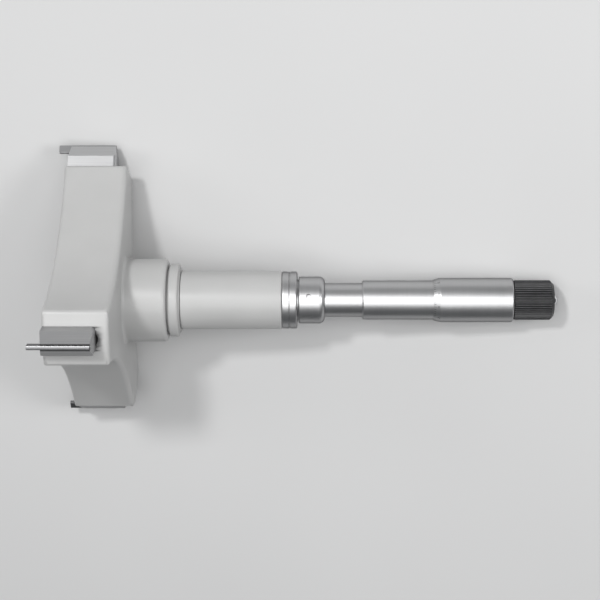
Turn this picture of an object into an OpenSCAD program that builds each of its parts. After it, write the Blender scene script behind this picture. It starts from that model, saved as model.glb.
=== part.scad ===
// Three-point inside micrometer, lying on a flat surface.
// Every piece is drawn about the tool axis, with z = 0 on the front face of the head and +z towards
// the ratchet. Moving pieces are drawn at the smallest bore and shifted to the bore that is set.
// laid() then sets the tool down on the ends of its two lower arms and on its ratchet knob.

/* [Measuring range] */
// Smallest bore diameter that the anvils reach
bore_min = 150; // [146:1:156]
// Span between the smallest and the largest bore diameter
bore_span = 25; // [15:1:25]
// Bore diameter that the tool is set to
bore_set = 165; // [158:0.5:170]
// Radial rise of the cone for each millimetre of feed
cone_rise = 0.5; // [0.5:0.01:0.55]

/* [Head] */
// Thickness of the three-armed head
head_t = 31.8; // [31:0.1:33]
// Radius of the arm ends about the tool axis
arm_end_r = 68.5; // [67:0.5:70]
// Radius of the head half-way between two arms
waist_r = 35; // [33:0.5:37]
// Radius of the hollow sides of the arms
arm_side_r = 133; // [120:1:145]
// Rounding of the edges of the head
head_edge_r = 2; // [1:0.1:2.4]
// Rounding of the rear edges of the hollow sides
hollow_rear_r = 3; // [1:0.1:3.4]
// Rounding of the corners of the arm ends
arm_corner_r = 2.4; // [1.5:0.1:3.5]
// Radius of the round hub behind the head
hub_r = 21; // [20.5:0.1:22]
// Length of the hub
hub_l = 21.8; // [21.4:0.1:26]
// Cove where the hub meets the head
hub_cove_r = 2; // [1:0.1:2.6]
// Rounding at the rear end of the hub
hub_edge_r = 2; // [0.8:0.1:2.4]
// Radius of the rim that centres the hub in the head
hub_pilot_r = 19.5; // [18.6:0.1:20]
// Length of that rim inside the head
hub_pilot_l = 4; // [2.5:0.1:4.2]
// Outer radius of the spigot that carries the handle
spigot_r = 12.5; // [12:0.1:12.8]
// Length of the spigot inside the handle tube
spigot_grip_l = 10; // [8:0.5:12]
// Wall between the cone's bore and the rear end of the cone's travel
cavity_end_gap = 0.5; // [0.4:0.1:1]

/* [Front cover] */
// Radius of the cover plate
cover_r = 24; // [23:0.1:24.2]
// Thickness of the cover plate
cover_t = 3; // [2.5:0.1:4]
// Wall of the raised boss in front of the cone
boss_wall = 1.2; // [1:0.1:1.6]
// Radius of the hollow inside the boss
boss_hollow_r = 7; // [6.6:0.1:8]
// Number of cover screws
cover_screw_n = 6; // [3:1:6]
// Radius of the circle of cover screws
cover_screw_pcr = 20.4; // [20.2:0.1:20.8]
// Thread radius of a cover screw
cover_screw_r = 1.5; // [1.2:0.1:1.6]
// Length of a cover screw
cover_screw_l = 10; // [7:0.5:12]

/* [Cone] */
// Radius of the cone at its front end
cone_tip_r = 3; // [2.6:0.1:3.4]
// Length of the cone past the end of the rods' travel
cone_run_out = 2.3; // [2:0.1:3]
// Length of the round land behind the cone
cone_land_l = 0.6; // [0.4:0.1:1]

/* [Measuring rods] */
// Distance of the rods behind the front face
rod_z = 22; // [21.5:0.1:22.4]
// Radius of a measuring rod and of its round inner end
rod_r = 2.8; // [2.4:0.05:3]
// Radius of the threaded end that holds the anvil holder
rod_thread_r = 2; // [1.6:0.1:2.2]
// Length of the threaded end
rod_thread_l = 8; // [6:0.5:10]
// Radius of the bore for the return spring
spring_bore_r = 4.6; // [4.4:0.05:4.8]
// Distance of the spring bore's inner end from the tool axis
spring_bore_start = 23; // [22:0.5:24]
// Thickness of the collar that the return spring pushes on
rod_collar_t = 2; // [1.5:0.1:2.5]
// Length of the bush that closes the spring bore
rod_bush_l = 4; // [3:0.5:5]
// Wire radius of a return spring
return_wire_r = 0.35; // [0.3:0.05:0.4]
// Number of turns of a return spring
return_turns = 6; // [4:1:7]

/* [Anvils] */
// Width of the slot in an arm end
slot_w = 12.4; // [11:0.1:13]
// Length of the slot from the front face
slot_l = 25.6; // [25.4:0.1:26.5]
// Distance of the slot floor from the tool axis
slot_floor_r = 48; // [47:0.5:49]
// Rounding of the corners at the closed end of the slot
slot_corner_r = 2; // [1.2:0.1:3]
// Width of the ground flat along the ridge of a holder
ridge_w = 3.6; // [3.4:0.1:4]
// Height of a holder's straight flank beyond the arm end at the smallest bore
flank_h = -1; // [-2:0.1:1]
// Distance of the ridge's front end behind the front face
ridge_front = 1.4; // [0.4:0.1:2.5]
// Distance of the ridge's rear end in front of the holder's back
ridge_rear = 1; // [0.6:0.1:2]
// Width of a carbide contact bar
tip_w = 2; // [1.6:0.1:2.2]
// Depth of a carbide bar
tip_h = 4; // [3:0.1:4.4]
// Height of a carbide bar above the ridge
tip_proud = 0.9; // [0.6:0.1:1.2]
// Reach of a carbide bar in front of the front face
tip_front = 5; // [4:0.1:6]
// Width of the relief groove on each side of a carbide bar
relief_w = 0.35; // [0.2:0.05:0.5]
// Depth of the relief grooves below the ridge
relief_h = 0.8; // [0.4:0.1:1.2]

/* [Handle] */
// Length of the narrow collar of the coupling ring next to the hub
ring_neck_l = 0.8; // [0.6:0.1:2]
// Length of the wide part of the coupling ring
ring_l = 5; // [4:0.1:5.6]
// Length of the narrow collar of the coupling ring next to the handle
ring_tail_l = 0.6; // [0.5:0.1:1.5]
// Outer radius of the coupling ring
ring_r = 18.5; // [18:0.1:19.5]
// Rounding of the edges of the coupling ring
ring_edge_r = 2.2; // [0.6:0.1:2.2]
// Outer radius of the collars of the coupling ring
ring_neck_r = 16.2; // [15.5:0.1:16.8]
// Outer radius of the handle tube
tube_r = 14.75; // [14.2:0.05:15.2]
// Length of the handle tube
tube_l = 51; // [50.5:0.5:60]
// Radius of the push rod in front of its collar
push_rod_r = 6; // [5.5:0.1:6.5]
// Radius of the push rod behind its collar
push_tail_r = 4.6; // [4.2:0.1:4.8]
// Radius of the push rod's collar
push_collar_r = 10.6; // [10.4:0.1:10.7]
// Thickness of the push rod's collar
push_collar_t = 3; // [2.5:0.1:4]
// Outer radius of the bush that guides the push rod
guide_bush_r = 9; // [8.6:0.05:9.2]
// Length of the guide bush
guide_bush_l = 17; // [15:0.5:18]
// Radius of the pin that stops the push rod from turning
guide_pin_r = 1.5; // [1.2:0.1:1.6]
// Depth of the pin's groove in the push rod
keyway_d = 2; // [1.6:0.1:2.4]
// Wire radius of the feed spring
feed_wire_r = 0.6; // [0.5:0.05:0.65]
// Mean radius of the feed spring
feed_spring_r = 9.8; // [9.7:0.05:9.9]
// Number of turns of the feed spring
feed_turns = 7; // [5:1:8]

/* [Micrometer head] */
// Radius of the end ring of the handle
end_ring_r = 14.4; // [14:0.1:14.7]
// Length of the end ring
end_ring_l = 7.6; // [7:0.1:9]
// Length of the end ring's spigot inside the handle tube
end_spigot_l = 8; // [6:0.5:9]
// Width of the gap between the end ring and the clamp nut
nut_gap = 0.8; // [0.4:0.1:1.2]
// Radius of the clamp nut
nut_r = 11.85; // [11.6:0.05:12.2]
// Length of the clamp nut with the gap in front of it
nut_l = 14; // [12.5:0.1:15]
// Rounding of the rear end of the clamp nut
nut_dome_r = 2.9; // [2:0.1:3]
// Radius of the spanner hole in the clamp nut
spanner_hole_r = 1.3; // [1:0.1:1.5]
// Angle of the spanner hole about the tool axis
spanner_hole_angle = -24; // [-60:1:60]
// Radius of the barrel and of the neck
barrel_r = 8.45; // [8.3:0.05:8.6]
// Length of the bare neck
neck_l = 18.9; // [17:0.1:24]
// Radius of the graduated sleeve
sleeve_r = 9.85; // [9.7:0.05:10]
// Length of the sleeve in front of its scale
sleeve_plain_l = 25.7; // [22:0.1:28]
// Length of the sleeve left inside the thimble at the smallest bore
sleeve_engage = 6; // [5:0.1:8]
// Radius of the thimble
thimble_r = 11.15; // [11:0.05:11.4]
// Length of the thimble's bevelled front edge
bevel_l = 3.4; // [2.5:0.1:5]
// Radius of the thimble at the front of the bevel
bevel_r = 10.25; // [10.15:0.05:10.5]
// Thickness of the thimble's end wall
thimble_end_t = 5; // [4:0.1:6]
// Radius of the spindle
spindle_r = 4; // [3.8:0.05:4.1]
// Length of the spindle thread in the barrel
thread_l = 38; // [35:1:39]
// Radius of the thrust ball
ball_r = 2.5; // [2:0.1:2.8]
// Length of the adjusting nut
adjust_nut_l = 3.2; // [2.5:0.1:4]

/* [Ratchet] */
// Radius of the ratchet knob over its knurl
knob_r = 10; // [9.6:0.05:10.4]
// Length of the ratchet knob
knob_l = 20; // [19:0.1:24]
// Chamfer at the rear end of the knob
knob_chamfer = 1.8; // [1:0.1:2.4]
// Depth of the knurl
knurl_d = 0.45; // [0.3:0.05:0.6]
// Number of knurl ridges
knurl_n = 48; // [32:4:60]
// Radius of the clutch nut
clutch_r = 7; // [6.5:0.1:7.4]
// Length of the clutch nut
clutch_l = 4; // [3.5:0.1:5]
// Thickness of the web inside the knob
knob_web_t = 3.2; // [2.5:0.1:4]
// Radius of the ratchet screw's head
screw_head_r = 5.4; // [5:0.1:5.6]
// Length of the ratchet screw's head
screw_head_l = 3.4; // [3:0.1:4]
// Radius of the bright button on the ratchet screw
button_r = 2.9; // [2.4:0.1:3.4]
// Height of the bright button
button_h = 2.4; // [1.6:0.1:3]

/* [Clearances] */
// Radial running clearance of shafts and rods
running = 0.05; // [0.03:0.005:0.08]
// Radial clearance of pieces that are fixed to each other
seat = 0.02; // [0.01:0.005:0.05]
// Gap between a rod's round end and the cone
tip_gap = 0.1; // [0.05:0.01:0.2]
// Gap between a holder and its slot
slot_gap = 0.12; // [0.08:0.01:0.2]
// Gap between neighbours that must not rub
free_gap = 0.4; // [0.3:0.05:0.5]

/* [Hidden] */
$fn = 96;
cut = 1;
// How far a rounding crosses the face that it starts from
edge_overlap = 0.06;
arm_n = 3;
arm_step = 360 / arm_n;

// Feed and radial travel, from the smallest bore to the one that is set
travel = bore_span / 2 / cone_rise;
feed = (bore_set - bore_min) / 2 / cone_rise;
reach = (bore_set - bore_min) / 2;

// Head and cone
side_centre = waist_r + arm_side_r;
cone_l = travel + cone_run_out;
cone_base_r = cone_tip_r + cone_l * cone_rise;
cavity_r = cone_base_r + free_gap;
cone_back_z = rod_z + cone_l + cone_land_l;
cavity_end_z = cone_back_z + cavity_end_gap;
hub_end_z = head_t + hub_l;
boss_front_z = rod_z - travel - free_gap - boss_wall;
boss_r = boss_hollow_r + 2 * boss_wall;
cover_screw_head_r = 1.9 * cover_screw_r;
cone_tap_l = cone_l / 3;
cone_tap_r = 0.7 * push_rod_r;

// Measuring rods, at the smallest bore
cone_angle = atan(cone_rise);
rod_tip_r = cone_tip_r + (rod_r + tip_gap) / cos(cone_angle);
collar_start = spring_bore_start + free_gap;
collar_end = collar_start + rod_collar_t;
holder_base_r = slot_floor_r + free_gap;
bush_start = slot_floor_r - rod_bush_l;
contact_r = bore_min / 2;

// Anvil holders
holder_w = slot_w - 2 * slot_gap;
holder_back_z = slot_l - slot_gap;
ridge_r = contact_r - tip_proud;
ridge_back_z = holder_back_z - ridge_rear;
flank_r = arm_end_r + flank_h;

// Handle
tube_z = hub_end_z + ring_neck_l + ring_l + ring_tail_l;
tube_end_z = tube_z + tube_l;
tube_bore_r = spigot_r + seat;
spigot_end_z = tube_z + spigot_grip_l;
guide_bush_z = spigot_end_z - guide_bush_l;
guide_pin_z = guide_bush_z + guide_bush_l / 2;
keyway_w = 2 * (guide_pin_r + running);

// Micrometer head
nut_z = tube_end_z + end_ring_l;
nut_end_z = nut_z + nut_l;
nut_lip_l = 3.2;
nut_thread_r = barrel_r + 1.75;
barrel_z = tube_end_z + 1;
end_bore_r = push_collar_r + free_gap;
sleeve_z = nut_end_z + neck_l;
sleeve_l = sleeve_plain_l + travel + sleeve_engage;
sleeve_end_z = sleeve_z + sleeve_l;
adjust_gap = 0.3;
adjust_z = sleeve_end_z + adjust_gap;
barrel_end_z = adjust_z + adjust_nut_l;
adjust_thread_r = barrel_r - 0.85;
adjust_nut_r = sleeve_r - 0.5;
push_end_z = barrel_z + travel + 6;
push_bore_r = push_tail_r + 0.6;
collar_back_z = barrel_z - 3;
collar_front_z = collar_back_z - push_collar_t;
ball_z = push_end_z - 0.4 * ball_r;
spindle_z = ball_z + ball_r + running;
thread_z = barrel_end_z - thread_l;

// Thimble and ratchet, at the smallest bore
thimble_z = sleeve_z + sleeve_plain_l + travel;
thimble_bore_r = sleeve_r + running;
thimble_wall_z = barrel_end_z + travel + free_gap;
thimble_end_z = thimble_wall_z + thimble_end_t;
tail_r = 0.75 * spindle_r;
knob_z = thimble_end_z + free_gap;
knob_end_z = knob_z + knob_l;
clutch_end_z = thimble_end_z + clutch_l;
disc_t = 1;
disc_gap = 0.1;
web_z = clutch_end_z + disc_t + 2 * disc_gap;
web_end_z = web_z + knob_web_t;
ratchet_shank_r = 0.5 * spindle_r;
screw_head_z = knob_end_z - screw_head_l;
ratchet_spring_r = 0.75 * screw_head_r;
ratchet_wire_r = 0.5;
ratchet_turns = 4;
knob_recess_r = screw_head_r + free_gap;

// How the tool lies: on the corners of its lower arms and on the rim of its ratchet knob
corner_centre_r = arm_end_r - arm_corner_r;
corner_gap_r = arm_side_r + arm_corner_r;
corner_angle = acos((pow(corner_centre_r, 2) + pow(side_centre, 2) - pow(corner_gap_r, 2))
                    / (2 * corner_centre_r * side_centre));
corner_depth = corner_centre_r * cos(corner_angle) + arm_corner_r;
knob_rim_z = knob_end_z - knob_chamfer - feed;
tilt = atan((corner_depth - knob_r) / (knob_rim_z - head_t));
lift = head_t * sin(tilt) + corner_depth * cos(tilt);
lower_tip_depth = (contact_r + reach) * cos(180 - arm_step) + tip_w / 2 * sin(arm_step);
front_x = -tip_front * cos(tilt) - lower_tip_depth * sin(tilt);
rear_x = (knob_end_z + button_h - feed) * cos(tilt);
mid_x = (front_x + rear_x) / 2;

module laid() {
  translate([-mid_x, 0, lift]) rotate([0, 90 + tilt, 0]) rotate([0, 0, 180]) children();
}

// Pieces that move with the thimble, at the set bore
module fed() {
  translate([0, 0, -feed]) children();
}

// One arm's frame: local +x points out along the arm, z = 0 lies in the plane of the rods
module on_arm(i) {
  rotate([0, 0, (i - 1) * arm_step]) translate([0, 0, rod_z]) children();
}

// Revolves a profile of [distance from the arm's centre line, distance from the tool axis]
module radial(from) {
  translate([from, 0, 0]) rotate([0, 90, 0]) children();
}

// Points of an arc about a centre
function arc(centre, r, from, to, steps = 8) =
  [for (i = [0 : steps]) centre + r * [cos(from + (to - from) * i / steps), sin(from + (to - from) * i / steps)]];

// Revolved ring between two radii
module ring(z, l, outer, inner) {
  translate([0, 0, z]) difference() {
    cylinder(h = l, r = outer);
    translate([0, 0, -cut]) cylinder(h = l + 2 * cut, r = inner);
  }
}

// Coil spring of round wire along z, from 0 to its length
module coil_spring(mean_r, wire_r, length, turns) {
  sides = 6;
  per_turn = 14;
  steps = turns * per_turn;
  pitch_step = (length - 2 * wire_r) / steps;
  points = [for (i = [0 : steps], k = [0 : sides - 1])
    let (a = i * 360 / per_turn, b = k * 360 / sides, r = mean_r + wire_r * cos(b))
    [r * cos(a), r * sin(a), wire_r + i * pitch_step + wire_r * sin(b)]];
  walls = [for (i = [0 : steps - 1], k = [0 : sides - 1])
    let (n = (k + 1) % sides)
    [i * sides + k, i * sides + n, (i + 1) * sides + n, (i + 1) * sides + k]];
  first = [for (k = [0 : sides - 1]) sides - 1 - k];
  last = [for (k = [0 : sides - 1]) steps * sides + k];
  polyhedron(points = points, faces = concat([first], walls, [last]));
}

// Disc of the arm ends, with rounded edges
module head_disc() {
  e = head_edge_r;
  rotate_extrude() polygon(concat(
    [[0, 0]],
    arc([arm_end_r - e, e], e, -90, 0),
    arc([arm_end_r - e, head_t - e], e, 0, 90),
    [[0, head_t]]));
}

// Hollow between two arms: a round cutter that flares at both faces, to round the edges it leaves
module side_cutter() {
  e = head_edge_r;
  b = hollow_rear_r;
  rotate([0, 0, arm_step / 2]) translate([side_centre, 0, 0]) rotate_extrude() polygon(concat(
    [[0, -cut], [arm_side_r + e, -cut]],
    arc([arm_side_r + e, e - edge_overlap], e, 270, 180),
    arc([arm_side_r + b, head_t - b + edge_overlap], b, 180, 90),
    [[arm_side_r + b, head_t + cut], [0, head_t + cut]]));
}

// Rounds one corner of an arm end, on the side towards +side
module corner_cutter(side) {
  a = side * (arm_step / 2 - corner_angle);
  block = 3 * arm_corner_r;
  rotate([0, 0, a]) translate([corner_centre_r, 0, -cut]) difference() {
    linear_extrude(head_t + 2 * cut) polygon([
      arm_corner_r * [cos(side * 12), sin(side * 12)],
      [block, side * arm_corner_r / 4],
      [block, side * block],
      [-arm_corner_r / 4, side * block],
      arm_corner_r * [cos(side * 74), sin(side * 74)]]);
    translate([0, 0, -cut]) cylinder(h = head_t + 4 * cut, r = arm_corner_r);
  }
}

// Slot that an anvil holder slides in, open to the front face and to the arm end
module anvil_slot() {
  depth = arm_end_r - slot_floor_r + cut;
  translate([slot_floor_r, 0, -rod_z]) rotate([90, 0, 90]) linear_extrude(depth)
    slot_outline(slot_w, slot_l, slot_corner_r, cut);
}

// Slot seen along the arm: open in front, with two rounded corners at its closed end
module slot_outline(w, l, corner_r, front) {
  translate([-w / 2, -front]) square([w, l + front - corner_r]);
  translate([corner_r - w / 2, 0]) square([w - 2 * corner_r, l]);
  for (side = [-1, 1]) translate([side * (w / 2 - corner_r), l - corner_r]) circle(r = corner_r);
}

// Bores of one arm: guide for the rod, then the wider bore of the spring
module rod_bores() {
  radial(0) cylinder(h = spring_bore_start + cut, r = rod_r + running);
  radial(spring_bore_start) cylinder(h = arm_end_r - spring_bore_start + cut, r = spring_bore_r);
}

module cover_screw_places() {
  for (i = [0 : cover_screw_n - 1])
    rotate([0, 0, (i + 0.5) * 360 / cover_screw_n]) translate([cover_screw_pcr, 0, 0]) children();
}

module head_body() {
  color("gainsboro") laid() difference() {
    head_disc();
    for (i = [0 : arm_n - 1]) rotate([0, 0, i * arm_step]) {
      side_cutter();
      corner_cutter(1);
      corner_cutter(-1);
    }
    translate([0, 0, -cut]) cylinder(h = head_t + 2 * cut, r = cavity_r);
    translate([0, 0, -cut]) cylinder(h = cover_t + cut, r = cover_r + seat);
    translate([0, 0, head_t - hub_pilot_l]) cylinder(h = hub_pilot_l + cut, r = hub_pilot_r + seat);
    for (i = [1 : arm_n]) on_arm(i) {
      rod_bores();
      anvil_slot();
    }
    cover_screw_places() cylinder(h = cover_screw_l + cut, r = cover_screw_r + seat);
  }
}

// Hub behind the head: a centring rim in the head, a cove, and the spigot that carries the handle
module hub() {
  cove_start = 75;
  cove_centre = [hub_r + hub_cove_r, head_t + hub_cove_r * sin(cove_start)];
  pilot_z = head_t - hub_pilot_l + free_gap;
  color("gainsboro") laid() difference() {
    rotate_extrude() polygon(concat(
      [[cavity_r, pilot_z], [hub_pilot_r, pilot_z], [hub_pilot_r, head_t]],
      arc(cove_centre, hub_cove_r, 180 + cove_start, 180),
      arc([hub_r - hub_edge_r, hub_end_z - hub_edge_r], hub_edge_r, 0, 90),
      [[spigot_r, hub_end_z], [spigot_r, spigot_end_z], [guide_bush_r + seat, spigot_end_z], [guide_bush_r + seat, cavity_end_z],
       [cavity_r, cavity_end_z]]));
    guide_pin_hole();
  }
}

// Hole for the guide pin, through the top of the spigot and its bush
module guide_pin_hole() {
  translate([0, 0, guide_pin_z]) rotate([0, 90, 0]) cylinder(h = spigot_r + cut, r = guide_pin_r + seat);
}

module front_cover() {
  e = 1;
  color("silver") laid() difference() {
    rotate_extrude() polygon(concat(
      [[0, boss_front_z]],
      arc([boss_r - e, boss_front_z + e], e, -90, 0, 4),
      [[boss_r, 0], [cover_r, 0], [cover_r, cover_t], [0, cover_t]]));
    translate([0, 0, boss_front_z + boss_wall]) cylinder(h = cover_t - boss_front_z, r = boss_hollow_r);
    cover_screw_places() {
      translate([0, 0, -cut]) cylinder(h = cover_t + 2 * cut, r = cover_screw_r + 2 * seat);
      translate([0, 0, -seat]) screw_cone(2 * seat);
    }
  }
}

// Countersunk head, with a little more radius for its seat
module screw_cone(extra) {
  depth = cover_screw_head_r - cover_screw_r;
  cylinder(h = depth, r1 = cover_screw_head_r + extra, r2 = cover_screw_r + extra);
}

module cover_screws() {
  slot = [2.4 * cover_screw_head_r, 0.4 * cover_screw_r, 0.9 * cover_screw_r];
  color("dimgray") laid() cover_screw_places() difference() {
    union() {
      screw_cone(0);
      cylinder(h = cover_screw_l, r = cover_screw_r);
    }
    cube(slot, center = true);
  }
}

module rod_bushes() {
  color("darkgoldenrod") laid() for (i = [1 : arm_n]) on_arm(i)
    radial(0) ring(bush_start, rod_bush_l, spring_bore_r - seat, rod_r + running);
}

// Rod with round inner end, spring collar and threaded outer end
module measuring_rod(i) {
  color("lightsteelblue") laid() on_arm(i) translate([reach, 0, 0]) {
    translate([rod_tip_r, 0, 0]) sphere(r = rod_r);
    radial(rod_tip_r) cylinder(h = holder_base_r - rod_tip_r, r = rod_r);
    radial(collar_start) cylinder(h = rod_collar_t, r = spring_bore_r - free_gap);
    radial(holder_base_r - cut) cylinder(h = rod_thread_l + cut, r = rod_thread_r);
  }
}

// Side view of a holder: [distance from the tool axis, distance behind the front face]
module holder_side() {
  polygon([[holder_base_r, free_gap], [flank_r, free_gap], [ridge_r, ridge_front],
           [ridge_r, ridge_back_z], [flank_r, holder_back_z], [holder_base_r, holder_back_z]]);
}

// End view of a holder: [distance from the tool axis, half-width]
module holder_end() {
  polygon([[holder_base_r, -holder_w / 2], [flank_r, -holder_w / 2], [ridge_r, -ridge_w / 2],
           [ridge_r, ridge_w / 2], [flank_r, holder_w / 2], [holder_base_r, holder_w / 2]]);
}

// Block that fills a bar's groove along the ridge
module tip_block(clear) {
  l = ridge_back_z + tip_front;
  w = tip_w + 2 * clear;
  translate([contact_r - tip_h - clear, -w / 2, -tip_front - rod_z])
    cube([tip_h + clear, w, l + clear]);
}

// Shallow grooves along both sides of a bar, run out at the front and rear of the ridge
module relief() {
  w = tip_w + 2 * relief_w;
  translate([ridge_r - relief_h, -w / 2, -tip_front - rod_z])
    cube([relief_h + cut, w, tip_front + slot_l + cut]);
}

module anvil_holder(i) {
  color("silver") laid() on_arm(i) translate([reach, 0, 0]) difference() {
    intersection() {
      translate([0, holder_w, -rod_z]) rotate([90, 0, 0]) linear_extrude(2 * holder_w) holder_side();
      translate([0, 0, -2 * rod_z]) linear_extrude(4 * rod_z) holder_end();
      translate([holder_base_r - cut, 0, -rod_z]) rotate([90, 0, 90]) linear_extrude(contact_r)
        slot_outline(holder_w, holder_back_z, slot_corner_r - slot_gap, rod_z);
    }
    tip_block(seat);
    relief();
    radial(holder_base_r - cut) cylinder(h = rod_thread_l + cut + seat, r = rod_thread_r + seat);
  }
}

// Bar with a crowned contact face
module carbide_tip(i) {
  crown_r = 3 * tip_w;
  color("white") laid() on_arm(i) translate([reach, 0, 0]) intersection() {
    tip_block(0);
    translate([contact_r - crown_r, 0, -2 * rod_z]) cylinder(h = 4 * rod_z, r = crown_r);
  }
}

module return_spring(i) {
  length = bush_start - collar_end - reach;
  mean_r = (rod_r + spring_bore_r) / 2;
  color("slategray") laid() on_arm(i) radial(collar_end + reach)
    coil_spring(mean_r, return_wire_r, length, return_turns);
}

module expanding_cone() {
  color("lightsteelblue") laid() fed() translate([0, 0, rod_z]) difference() {
    union() {
      cylinder(h = cone_l, r1 = cone_tip_r, r2 = cone_base_r);
      translate([0, 0, cone_l]) cylinder(h = cone_land_l, r = cone_base_r);
    }
    translate([0, 0, cone_l + cone_land_l - cone_tap_l]) cylinder(h = cone_tap_l + cut, r = cone_tap_r + seat);
  }
}

// Rod between cone and spindle, with a groove for the guide pin and a collar for the feed spring
module push_rod() {
  keyway_front = guide_pin_z - guide_pin_r - free_gap;
  keyway_l = travel + 2 * (guide_pin_r + free_gap);
  color("lightsteelblue") laid() fed() difference() {
    union() {
      translate([0, 0, cone_back_z - cone_tap_l]) cylinder(h = cone_tap_l + cut, r = cone_tap_r);
      translate([0, 0, cone_back_z]) cylinder(h = collar_front_z - cone_back_z, r = push_rod_r);
      translate([0, 0, collar_front_z]) cylinder(h = push_collar_t, r = push_collar_r);
      translate([0, 0, collar_back_z]) cylinder(h = push_end_z - collar_back_z, r = push_tail_r);
    }
    translate([push_rod_r - keyway_d, -keyway_w / 2, keyway_front]) cube([keyway_d + cut, keyway_w, keyway_l]);
    translate([0, 0, ball_z]) sphere(r = ball_r + seat);
  }
}

module thrust_ball() {
  color("white") laid() fed() translate([0, 0, ball_z]) sphere(r = ball_r);
}

module guide_bush() {
  color("darkgoldenrod") laid() difference() {
    ring(guide_bush_z, guide_bush_l, guide_bush_r, push_rod_r + running);
    guide_pin_hole();
  }
}

// Pin that reaches from the spigot into the push rod's groove
module guide_pin() {
  from = push_rod_r - keyway_d + running;
  color("dimgray") laid() translate([0, 0, guide_pin_z]) radial(from)
    cylinder(h = spigot_r - free_gap - from, r = guide_pin_r);
}

module coupling_ring() {
  e = ring_edge_r;
  z1 = hub_end_z + ring_neck_l;
  z2 = z1 + ring_l;
  color("gainsboro") laid() rotate_extrude() polygon(concat(
    [[spigot_r + seat, hub_end_z], [ring_neck_r, hub_end_z], [ring_neck_r, z1]],
    arc([ring_r - e, z1 + e], e, -90, 0),
    arc([ring_r - e, z2 - e], e, 0, 90),
    [[ring_neck_r, z2], [ring_neck_r, tube_z], [spigot_r + seat, tube_z]]));
}

module handle_tube() {
  e = 0.8;
  color("gainsboro") laid() rotate_extrude() polygon(concat(
    [[tube_bore_r, tube_z]],
    arc([tube_r - e, tube_z + e], e, -90, 0, 4),
    arc([tube_r - e, tube_end_z - e], e, 0, 90, 4),
    [[tube_bore_r, tube_end_z]]));
}

module feed_spring() {
  color("slategray") laid() translate([0, 0, spigot_end_z])
    coil_spring(feed_spring_r, feed_wire_r, collar_front_z - feed - spigot_end_z, feed_turns);
}

// Ring that closes the handle, with a fine groove, a spigot in the tube and a collet under the clamp nut
module end_ring() {
  e = 0.7;
  groove_z = tube_end_z + 0.45 * end_ring_l;
  groove_w = 0.8;
  groove_r = end_ring_r - 0.4;
  collet_end = nut_end_z - nut_lip_l - free_gap;
  color("silver") laid() rotate_extrude() polygon(concat(
    [[end_bore_r, tube_end_z - end_spigot_l], [spigot_r, tube_end_z - end_spigot_l], [spigot_r, tube_end_z]],
    arc([end_ring_r - e, tube_end_z + e], e, -90, 0, 4),
    [[end_ring_r, groove_z], [groove_r, groove_z + groove_w / 4], [groove_r, groove_z + groove_w * 3 / 4],
     [end_ring_r, groove_z + groove_w]],
    arc([end_ring_r - e, nut_z - e], e, 0, 90, 4),
    [[nut_thread_r, nut_z], [nut_thread_r, collet_end], [barrel_r + seat, collet_end],
     [barrel_r + seat, barrel_z], [end_bore_r, barrel_z]]));
}

// Round nut with a domed rear end and a hole for a spanner
module clamp_nut() {
  e = 0.5;
  front_z = nut_z + nut_gap;
  lip_z = nut_end_z - nut_lip_l;
  hole_z = nut_z + 0.42 * nut_l;
  color("silver") laid() difference() {
    rotate_extrude() polygon(concat(
      [[nut_thread_r + seat, front_z], [nut_r - e, front_z], [nut_r, front_z + e]],
      arc([nut_r - nut_dome_r, nut_end_z - nut_dome_r], nut_dome_r, 0, 90),
      [[barrel_r + 2 * seat, nut_end_z], [barrel_r + 2 * seat, lip_z], [nut_thread_r + seat, lip_z]]));
    rotate([0, 0, spanner_hole_angle]) translate([nut_thread_r + seat, 0, hole_z]) rotate([0, 90, 0])
      translate([0, 0, -cut]) cylinder(h = nut_r, r = spanner_hole_r);
  }
}

module barrel() {
  color("silver") laid() difference() {
    union() {
      translate([0, 0, barrel_z]) cylinder(h = sleeve_end_z - barrel_z, r = barrel_r);
      translate([0, 0, barrel_z]) cylinder(h = barrel_end_z - barrel_z, r = adjust_thread_r);
    }
    translate([0, 0, barrel_z - cut]) cylinder(h = thread_z - barrel_z + cut, r = push_bore_r);
    translate([0, 0, thread_z - cut]) cylinder(h = thread_l + 2 * cut, r = spindle_r + running);
  }
}

module graduated_sleeve() {
  e = 0.5;
  color("silver") laid() rotate_extrude() polygon([
    [barrel_r + seat, sleeve_z], [sleeve_r - e, sleeve_z], [sleeve_r, sleeve_z + e],
    [sleeve_r, sleeve_end_z], [barrel_r + seat, sleeve_end_z]]);
}

module adjusting_nut() {
  color("dimgray") laid() ring(adjust_z, adjust_nut_l, adjust_nut_r, adjust_thread_r + seat);
}

// Measuring screw, with a shoulder for the thimble and a tapped tail
module spindle() {
  tap_l = 8;
  tail_end_z = clutch_end_z - seat;
  color("lightsteelblue") laid() fed() difference() {
    union() {
      translate([0, 0, spindle_z]) cylinder(h = thimble_wall_z - spindle_z, r = spindle_r);
      translate([0, 0, thimble_wall_z - cut]) cylinder(h = tail_end_z - thimble_wall_z + cut, r = tail_r);
    }
    translate([0, 0, tail_end_z - tap_l]) cylinder(h = tap_l + cut, r = ratchet_shank_r + seat);
  }
}

// Sleeve-like thimble with a bevelled edge for the circular scale
module thimble() {
  e = 0.6;
  bore = thimble_bore_r;
  color("silver") laid() fed() rotate_extrude() polygon([
    [bore, thimble_z], [bevel_r, thimble_z], [thimble_r, thimble_z + bevel_l],
    [thimble_r, thimble_end_z - e], [thimble_r - e, thimble_end_z], [tail_r + seat, thimble_end_z],
    [tail_r + seat, thimble_wall_z], [bore, thimble_wall_z]]);
}

module clutch_nut() {
  color("dimgray") laid() fed() ring(thimble_end_z, clutch_l, clutch_r, tail_r + seat);
}

module clutch_disc() {
  color("saddlebrown") laid() fed()
    ring(clutch_end_z + disc_gap, disc_t, clutch_r, ratchet_shank_r + running);
}

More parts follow.
